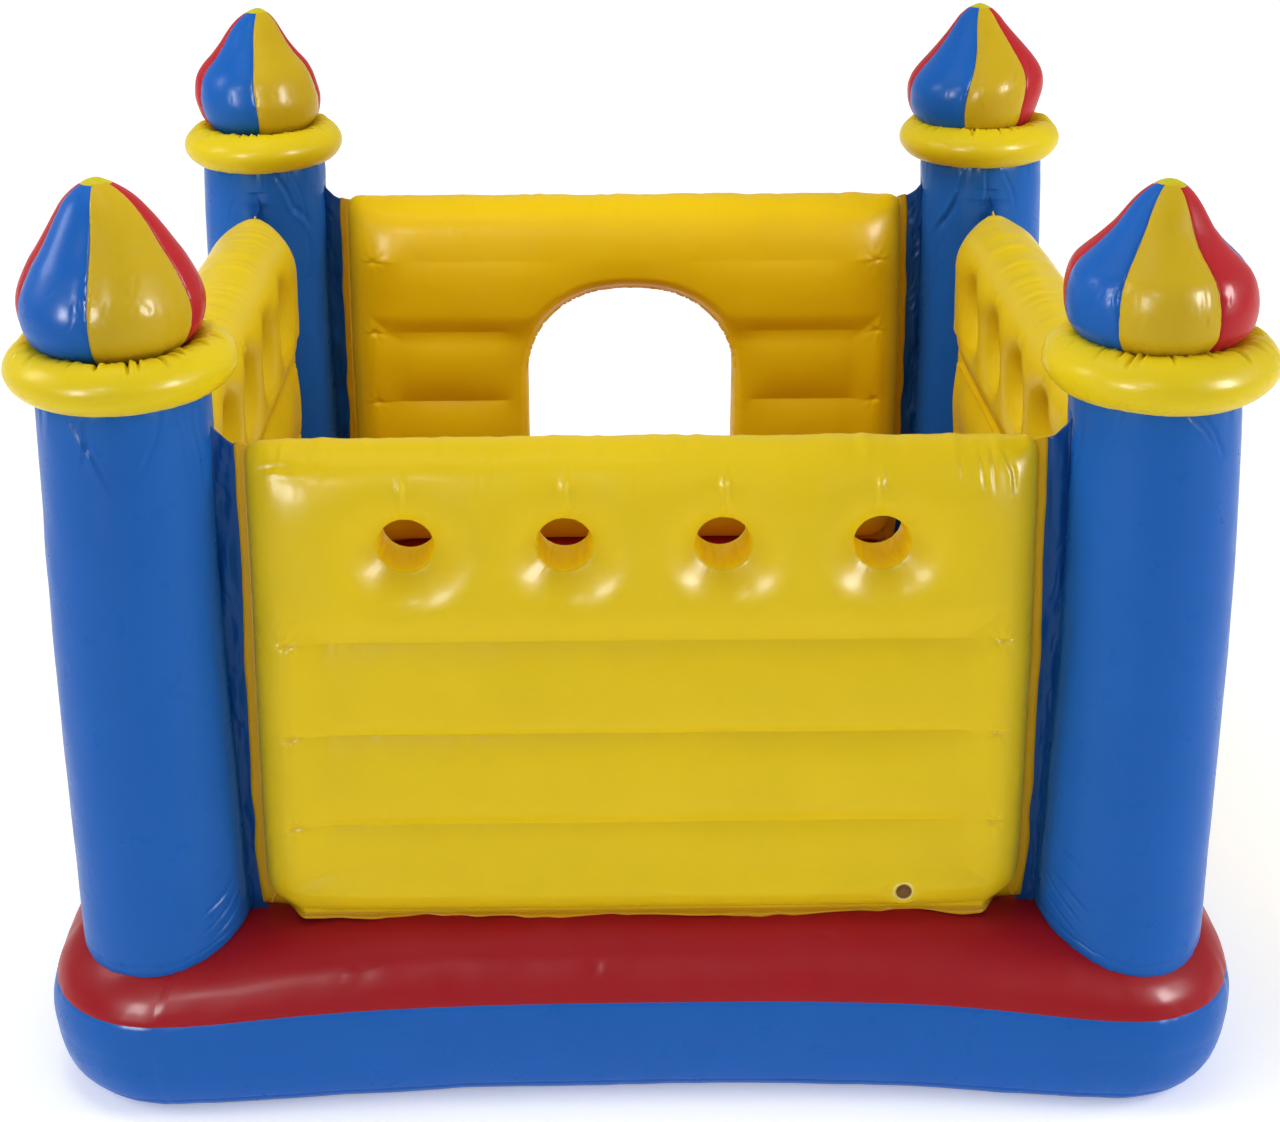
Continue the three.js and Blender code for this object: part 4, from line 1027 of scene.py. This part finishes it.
def make_wall(name, webs, ports, arch, step_u, step_z, strokes_outer=(), strokes_inner=()):
    sol = solve_wall(webs, ports, arch)
    u_out = [WALL_OUT - g for g in (0.0, 0.005, 0.010, 0.015)]
    U1 = axis_samples(step_u, -WALL_IN, WALL_IN, 0.0, lo_out=[-g for g in u_out], hi_out=u_out[::-1])
    Z1 = axis_samples(step_z, PUFF_Z0, SEAM_TOP, PORT_Z, extra=sorted({w[0] for w in webs}), lo_out=[HEM_Z, HEM_Z + 0.005, HEM_Z + 0.010])
    n, m = len(U1), len(Z1)
    U, Z = np.meshgrid(U1, Z1, indexing="ij")
    U, Z = U.copy(), Z.copy()
    # round the puffed outline's corners by drawing the grid lines in
    for (L, top) in ((0.048, False), (0.020, True)):
        bu = np.abs(U) - (WALL_IN - L)
        bz = (Z - (SEAM_TOP - L)) if top else ((PUFF_Z0 + L) - Z)
        inside = (bu > 0) & (bz > 0)
        cheb = np.maximum(bu, bz)
        r = np.maximum(np.hypot(bu, bz), 1e-9)
        w = np.clip(cheb / L, 0, 1) ** 1.5
        over = np.clip((cheb - L) / 0.020, 0, 1)
        w = w * (1 - over)
        nu_, nz_ = bu / r * cheb, bz / r * cheb
        bu2, bz2 = bu * (1 - w) + nu_ * w, bz * (1 - w) + nz_ * w
        U = np.where(inside, np.sign(U) * ((WALL_IN - L) + bu2), U)
        Z = np.where(inside, (SEAM_TOP - L) + bz2 if top else (PUFF_Z0 + L) - bz2, Z)
    keep = np.ones((n - 1, m - 1), bool)
    if ports:
        for x in PORT_XS:
            ci, cj = int(np.argmin(np.abs(U1 - x))), int(np.argmin(np.abs(Z1 - PORT_Z)))
            k0 = int(round(0.031 / step_u))
            k1 = int(round(0.062 / step_u))
            di, dj = np.arange(n)[:, None] - ci, np.arange(m)[None, :] - cj
            cheb = np.maximum(np.abs(di), np.abs(dj)).astype(float)
            # the block's cells are square in index space
            a, b = di / np.maximum(cheb, 1), dj / np.maximum(cheb, 1)
            hyp = np.maximum(np.hypot(di, dj), 1e-9)
            ux, uz = di / hyp, dj / hyp
            t = np.clip((cheb - k0) / (k1 - k0), 0, 1)
            t = t * t * (3 - 2 * t)
            rad = PORT_R + (cheb - k0) * (k1 * step_u - PORT_R) / (k1 - k0)
            rad = np.where(cheb < k0, PORT_R * cheb / k0, rad)
            circ_u, circ_z = x + ux * rad, PORT_Z + uz * rad
            blk = cheb <= k1
            U = np.where(blk, circ_u * (1 - t) + (x + a * cheb * step_u) * t, U)
            Z = np.where(blk, circ_z * (1 - t) + (PORT_Z + b * cheb * step_z) * t, Z)
            fc = np.maximum(np.abs(np.arange(n - 1)[:, None] + 0.5 - ci), np.abs(np.arange(m - 1)[None, :] + 0.5 - cj))
            keep &= ~(fc < k0)
    if arch:
        # snap the grid to the doorway's outline
        for _ in range(3):
            dd = arch_distance(U, Z)
            e = 1e-4
            gu = (arch_distance(U + e, Z) - arch_distance(U - e, Z)) / (2 * e)
            gz = (arch_distance(U, Z + e) - arch_distance(U, Z - e)) / (2 * e)
            if _ == 0:
                near = (np.abs(dd) < step_u * 0.52)
                inner = dd < -step_u * 0.52
            U = np.where(near, U - gu * dd, U)
            Z = np.where(near, Z - gz * dd, Z)
        bad = inner
        anybad = bad[:-1, :-1] | bad[1:, :-1] | bad[1:, 1:] | bad[:-1, 1:]
        mid = arch_distance((U[:-1, :-1] + U[1:, 1:]) / 2, (Z[:-1, :-1] + Z[1:, 1:]) / 2)
        keep &= ~(anybad | (mid < -0.0006))
    h, d = half_depth(sol, U, Z, ports, arch, full=name in ("left", "right"))
    if arch:
        ad = arch_distance(U, Z)
        h0 = 0.048
        R1 = 0.012
        t = np.clip(ad / R1, 0, 1)
        h = np.where(ad < R1, np.sqrt(h0**2 * (1 - t) + np.maximum(h, h0) ** 2 * t), h)
    strip = np.clip(np.maximum(np.abs(U) - WALL_IN, PUFF_Z0 - Z), 0, None)
    hF, hB = h.copy(), h.copy()
    seeds = {"front": 400, "left": 430, "right": 460, "back": 490}[name]
    for hh, sd in ((hF, seeds), (hB, seeds + 13)):
        n1, n2, n3, n4 = (Noise(sd + k) for k in range(4))
        body = smooth(0.0, 0.05, d)
        hh += (0.0010 * n1(U / 0.12, Z / 0.07) + 0.0004 * n2(U / 0.04, Z / 0.04)) * body
        # gathers square to the end seams and the top edge
        de = WALL_IN - np.abs(U)
        g = n3(Z / 0.011, de / 0.05)
        gate = smooth(0.1, 0.8, n4(Z / 0.06, 1.7 + 0 * U))
        hh += -0.0035 * np.abs(g) * gate * np.exp(-(de / 0.018)) * (de > 0) * smooth(0, 0.006, de)
        dt = SEAM_TOP - Z
        g = n3(U / 0.010 + 40, dt / 0.05)
        gate = smooth(0.0, 0.8, n4(U / 0.07 + 9, 3.7 + 0 * U))
        amp = 0.0012 if name in ("left", "right") else 0.0030
        hh += -amp * np.abs(g) * (0.15 + gate) * np.exp(-(dt / 0.022)) * smooth(0, 0.006, dt)
        # small gathers along each web
        for (zw, a0, a1) in webs:
            dz = np.abs(Z - zw)
            on = (U > a0) & (U < a1)
            g = n2(U / 0.013 + zw * 31, dz / 0.03)
            gt = smooth(0.2, 0.9, n4(U / 0.08 + zw * 17, 5.5 + 0 * U))
            hh += -0.0016 * np.abs(g) * gt * np.exp(-(dz / 0.009)) * on
            # the web's ends pull a short dimple
            for ue in (a0, a1):
                if abs(ue) > 0.4:
                    rr = np.hypot((U - ue) / 1.0, (Z - zw) / 0.7)
                    hh += -0.0045 * np.exp(-((rr / 0.007) ** 2))
                    ray = np.hypot(U - ue, Z - zw)
                    an = np.arctan2(Z - zw, U - ue)
                    hh += 0.0012 * np.sin(an * 7 + sd) * np.exp(-((ray / 0.020) ** 2)) * smooth(0.002, 0.008, ray)
        if ports:
            for x in PORT_XS:
                r = np.hypot(U - x, Z - PORT_Z)
                an = np.arctan2(Z - PORT_Z, U - x)
                g = n1(an * 9 + x * 40, r / 0.05)
                hh += -0.0012 * np.abs(g) * np.exp(-((r - PORT_R) / 0.007)) * (r > PORT_R)
        if arch:
            ad = arch_distance(U, Z)
            an = np.where(Z > ARCH_SPRING, np.arctan2(Z - ARCH_SPRING, U) * ARCH_R, Z + np.sign(U))
            g = n1(an / 0.011, ad / 0.04)
            hh += -0.0030 * np.abs(g) * np.exp(-(ad / 0.012)) * (ad > 0)
        np.maximum(hh, 0.0, out=hh)
    # folds pulled up from each port and drawn one by one elsewhere
    if ports:
        for kx, x in enumerate(PORT_XS):
            wob = (-0.002, 0.0015, 0.001, -0.003)[kx]
            hF += stroke(U, Z, [(x + wob - 0.003, 0.897), (x + wob - 0.002, 0.922), (x + wob - 0.003, 0.948)], 0.0030, -0.0042, lip=-0.6)
            hF += stroke(U, Z, [(x + wob + 0.006, 0.905), (x + wob + 0.006, 0.945)], 0.0028, 0.0016, lip=0)
            hB += stroke(U, Z, [(x - wob, 0.905), (x - wob, 0.950)], 0.0030, -0.0018, lip=-0.5)
    for st in strokes_outer:
        hF += stroke(U, Z, *st)
    for st in strokes_inner:
        hB += stroke(U, Z, *st)
    off = 0.0015
    inpuff = smooth(0.0, 0.003, d)
    hF, hB = np.maximum(hF, 0) * (d > 0), np.maximum(hB, 0) * (d > 0)
    # flat strip: wavy across and ragged at its rim
    nw = Noise(seeds + 23)
    wave = np.where(np.abs(U) > WALL_IN - 0.03, np.where(U < 0, edge_wave(name, -1, Z), edge_wave(name, 1, Z)), 0)
    wave = wave * smooth(WALL_IN - 0.02, WALL_IN + 0.010, np.abs(U))
    low = smooth(PUFF_Z0 + 0.004, PUFF_Z0 - 0.012, Z)
    wave = wave + low * (0.0075 * nw(U / 0.075, 0.4 + 0 * U) + 0.003 * nw(U / 0.024, 5.2 + 0 * U))
    rim = 0.0022 * nw(Z / 0.05, 9.1 + 0 * U) * smooth(WALL_IN, WALL_OUT, np.abs(U))
    U = U + np.sign(U) * rim
    Z = Z - low * (0.001 + 0.0035 * nw(U / 0.05, 7.7 + 0 * U))
    # the front and back sheets stand off the middle by their half depths, shifted together by the strip's wave
    yF, yB = -(off + hF) - wave, (off + hB) - wave
    top_wob = 0.0016 * nw(U / 0.05, 12.2 + 0 * U) + 0.0012 * nw(U / 0.015, 15.2 + 0 * U)
    Z = Z + top_wob * smooth(SEAM_TOP - 0.03, SEAM_TOP, Z)
    # the bottom weld sits forward of the wall's middle, away from the ends
    fwd = 0.046 * smooth(0.345, 0.262, Z) * smooth(0.515, 0.478, np.abs(U))
    shareF = np.clip(1 - fwd / np.maximum(hF + 0.012, 0.03), 0.1, 1) if name == "front" else 1.0
    if name != "front":
        fwd = fwd * 0.0
    yF = -(off + hF * shareF) - wave - fwd
    yB = (off + hB) - wave - fwd * (1 - smooth(0.0, 0.03, d) * 0.6)
    flick = smooth(PUFF_Z0 + 0.001, HEM_Z, Z) * smooth(0.51, 0.48, np.abs(U)) * (name == "front")
    yF, yB, Z = yF - 0.008 * flick, yB - 0.008 * flick, Z + 0.0105 * flick
    if name == "front":
        U = U + np.sign(U) * wall_flare(Z) * smooth(0.20, 0.50, np.abs(U))
        # a flat round patch under the inflation valve
        vx, vz = VALVE_U, VALVE_Z
        rv = np.hypot(U - vx, Z - vz)
        pad = smooth(0.034, 0.0145, rv)
        yF = yF * (1 - pad) + VALVE_Y * pad
    F = np.stack([U, yF, Z], -1)
    Bk = np.stack([U, yB, Z], -1)
    nv = n * m
    I, J = np.nonzero(keep)
    q = np.stack([I * m + J, (I + 1) * m + J, (I + 1) * m + J + 1, I * m + J + 1], -1)
    strip_face = ((np.abs(U1[I] + U1[I + 1]) / 2 > WALL_IN) | ((Z1[J] + Z1[J + 1]) / 2 < PUFF_Z0)).astype(int)
    faces = [q, q[:, ::-1] + nv]
    mats_i = [strip_face, strip_face]
    # open edges of the front sheet, joined through to the back one
    e = np.concatenate([q[:, [0, 1]], q[:, [1, 2]], q[:, [2, 3]], q[:, [3, 0]]])
    key = np.sort(e, 1)
    uni, first, count = np.unique(key[:, 0].astype(np.int64) * nv + key[:, 1], return_index=True, return_counts=True)
    rim_e = e[first[count == 1]]
    onrim = lambda v: (v // m == 0) | (v // m == n - 1) | (v % m == 0) | (v % m == m - 1)
    outer = onrim(rim_e[:, 0]) & onrim(rim_e[:, 1])
    oe = rim_e[outer]
    faces.append(np.stack([oe[:, 1], oe[:, 0], oe[:, 0] + nv, oe[:, 1] + nv], -1))
    mats_i.append(np.where((oe[:, 0] % m == m - 1) & (oe[:, 1] % m == m - 1), 0, 1))
    extra = []
    ie = rim_e[~outer]
    if len(ie):
        vid = np.unique(ie)
        rows = 13
        Fv, Bv = F.reshape(-1, 3)[vid], Bk.reshape(-1, 3)[vid]
        t = np.linspace(0, 1, rows + 2)[1:-1]
        # sleeves: gathered film between the two rims
        if ports:
            px = np.array(PORT_XS)[np.argmin(np.abs(Fv[:, 0][:, None] - np.array(PORT_XS)[None]), 1)]
            pz = np.full(len(vid), PORT_Z)
        else:
            px = np.zeros(len(vid))
            pz = np.clip(Fv[:, 2], ARCH_SILL + 0.05, ARCH_SPRING)
        dir_ = np.stack([Fv[:, 0] - px, Fv[:, 2] - pz], -1)
        if arch:
            e_ = 1e-4
            gu = (arch_distance(Fv[:, 0] + e_, Fv[:, 2]) - arch_distance(Fv[:, 0] - e_, Fv[:, 2])) / (2 * e_)
            gz = (arch_distance(Fv[:, 0], Fv[:, 2] + e_) - arch_distance(Fv[:, 0], Fv[:, 2] - e_)) / (2 * e_)
            dir_ = np.stack([gu, gz], -1)
        dir_ = dir_ / np.maximum(np.linalg.norm(dir_, axis=1, keepdims=True), 1e-9)
        ang = np.arctan2(dir_[:, 1], dir_[:, 0])
        ns = Noise(seeds + 31)
        arc = ang * 11 + px * 57 if ports else (np.where(Fv[:, 2] > ARCH_SPRING, ang * ARCH_R, Fv[:, 2] + np.sign(Fv[:, 0]) * 3 + (Fv[:, 2] < ARCH_SILL + 0.002) * Fv[:, 0])) / 0.012
        for tk in t:
            base_p = Fv * (1 - tk) + Bv * tk
            pl = np.sin(np.pi * tk)
            amp = (0.0040 if ports else 0.0035)
            fold = amp * ns(arc, 2.0 + tk * (2.2 if ports else 1.2)) * pl
            belly = (-0.0035 if ports else 0.010) * pl
            rr = fold + belly
            extra.append(base_p + np.stack([dir_[:, 0] * rr, 0 * rr, dir_[:, 1] * rr], -1))
        look = np.full(2 * nv, -1)
        look[vid] = np.arange(len(vid))
        a, b = look[ie[:, 0]], look[ie[:, 1]]
        base0 = 2 * nv
        prev_a, prev_b = ie[:, 0], ie[:, 1]
        for k in range(rows):
            na, nb = base0 + k * len(vid) + a, base0 + k * len(vid) + b
            faces.append(np.stack([prev_b, prev_a, na, nb], -1))
            mats_i.append(np.full(len(ie), 2 if ports else 0))
            prev_a, prev_b = na, nb
        faces.append(np.stack([prev_b, prev_a, ie[:, 0] + nv, ie[:, 1] + nv], -1))
        mats_i.append(np.full(len(ie), 2 if ports else 0))
    V = np.concatenate([F.reshape(-1, 3), Bk.reshape(-1, 3)] + extra)
    faces = np.vstack(faces)
    mats_i = np.concatenate(mats_i)
    # drop the points that no face uses
    used = np.unique(faces)
    remap = np.full(len(V), -1)
    remap[used] = np.arange(len(used))
    V, faces = V[used], remap[faces]
    # turn into place
    turn = {"front": 0, "left": -math.pi / 2, "right": math.pi / 2, "back": math.pi}[name]
    place = {"front": (0, -TOWER), "left": (-TOWER, 0), "right": (TOWER, 0), "back": (0, TOWER)}[name]
    c, s = math.cos(turn), math.sin(turn)
    X = V[:, 0] * c - V[:, 1] * s + place[0]
    Y = V[:, 0] * s + V[:, 1] * c + place[1]
    W = np.stack([X, Y, V[:, 2]], -1)
    ob = new_mesh(name + "_wall_chamber", W, faces, material_index=mats_i, mats=[YELLOW_BACK_WALL_LIT if arch else YELLOW, YELLOW_STRIP_SHADED, YELLOW_SLEEVE_LIT])
    # faces of the outer skin look outwards
    k = int(np.argmin(np.abs(V[faces[:, 0], 0]) + np.abs(V[faces[:, 0], 2] - 0.60) + (V[faces[:, 0], 1] > 0)))
    no = ob.data.polygons[k].normal
    outdir = (-math.sin(-turn) * 0 + math.sin(turn), -math.cos(turn))
    if no[0] * outdir[0] + no[1] * outdir[1] < 0:
        ob.data.flip_normals()
    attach(ob, "root")
    return ob


_vlo, _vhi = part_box("front_wall_valve_stem")
VALVE_U = (_vlo[0] + _vhi[0]) / 2 - 0.0112   # before the wall's feet spread
VALVE_Z = (_vlo[2] + _vhi[2]) / 2
VALVE_Y = _vlo[1] + TOWER + 0.0015           # just under the stem's lip
FULL = (-0.485, 0.485)
PORT_WEBS = [(0.423, *FULL), (0.567, *FULL), (0.710, *FULL)]
ARCH_WEBS = [(0.873, -0.485, 0.485)]
for zw in (0.444, 0.587, 0.730):
    ARCH_WEBS += [(zw, -0.485, -0.235), (zw, 0.235, 0.485)]

FRONT_FOLDS = [
    ([(0.452, 0.975), (0.455, 0.935)], 0.0026, 0.0018), ([(0.468, 0.978), (0.470, 0.930)], 0.0028, 0.0022),
    ([(0.485, 0.975), (0.497, 0.950), (0.498, 0.925)], 0.0032, 0.0030), ([(0.424, 0.975), (0.426, 0.945)], 0.0026, 0.0014),
    ([(-0.515, 0.955), (-0.490, 0.962), (-0.470, 0.960)], 0.0034, 0.0028), ([(-0.425, 0.975), (-0.428, 0.950)], 0.0026, 0.0012),
    ([(0.43, 0.350), (0.46, 0.345)], 0.003, 0.0008),
]
fine = 0.1073 / 39
walls = {}
walls["front"] = make_wall("front", PORT_WEBS, True, False, fine, fine, FRONT_FOLDS, [])
coarse = 0.1073 / 26
walls["left"] = make_wall("left", PORT_WEBS, True, False, coarse, coarse)
walls["right"] = make_wall("right", PORT_WEBS, True, False, coarse, coarse)
walls["back"] = make_wall("back", ARCH_WEBS, False, True, 0.0036, 0.0036)
for w, ob in walls.items():
    nodes = [w + "_wall_outer_skin", w + "_wall_inner_skin"] + (["back_wall_arch_liner", "back_wall_web_right_1", "back_wall_web_right_2"] if w == "back" else [])
    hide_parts(*nodes)

# pale welded ring round the wall's inflation valve
def make_valve_ring():
    r0 = max(_vhi[0] - _vlo[0], _vhi[2] - _vlo[2]) / 2
    cx, cz, y = VALVE_U, VALVE_Z, VALVE_Y - TOWER
    th = np.linspace(0, 2 * np.pi, 72, endpoint=False)
    nz = Noise(77)
    prof = [(r0 + 0.0006, 0.0010), (r0 + 0.0006, -0.0008), (r0 + 0.0020, -0.0016), (r0 + 0.0036, -0.0013), (r0 + 0.0048, -0.0002), (r0 + 0.0052, 0.0010)]
    G = []
    for r, dy in prof:
        rr = r * (1 + 0.03 * nz(np.cos(th) * 2 + 5, np.sin(th) * 2 + 5) * (r > r0 + 0.001))
        G.append(np.stack([cx + rr * np.cos(th), np.full_like(th, y + dy), cz + rr * np.sin(th)], -1))
    ob = new_mesh("valve_weld_ring", np.stack(G, 1), grid_faces(72, len(prof), ring_n=True, ring_m=True), mats=[VALVE_RING])
    if ob.data.polygons[2].normal[1] > 0:
        ob.data.flip_normals()
    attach(ob, "root")
    return ob


make_valve_ring()

# ------------------------------------------------- carried-over CAD materials
for node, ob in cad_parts.items():
    if "valve" in node:
        mat = VALVE
    elif node.startswith("base_inner") or node.startswith("floor_web") or node == "jump_floor":
        mat = RED
    elif node == "ground_sheet":
        mat = GROUND
    else:
        mat = YELLOW
    ob.data.materials.clear()
    ob.data.materials.append(mat)
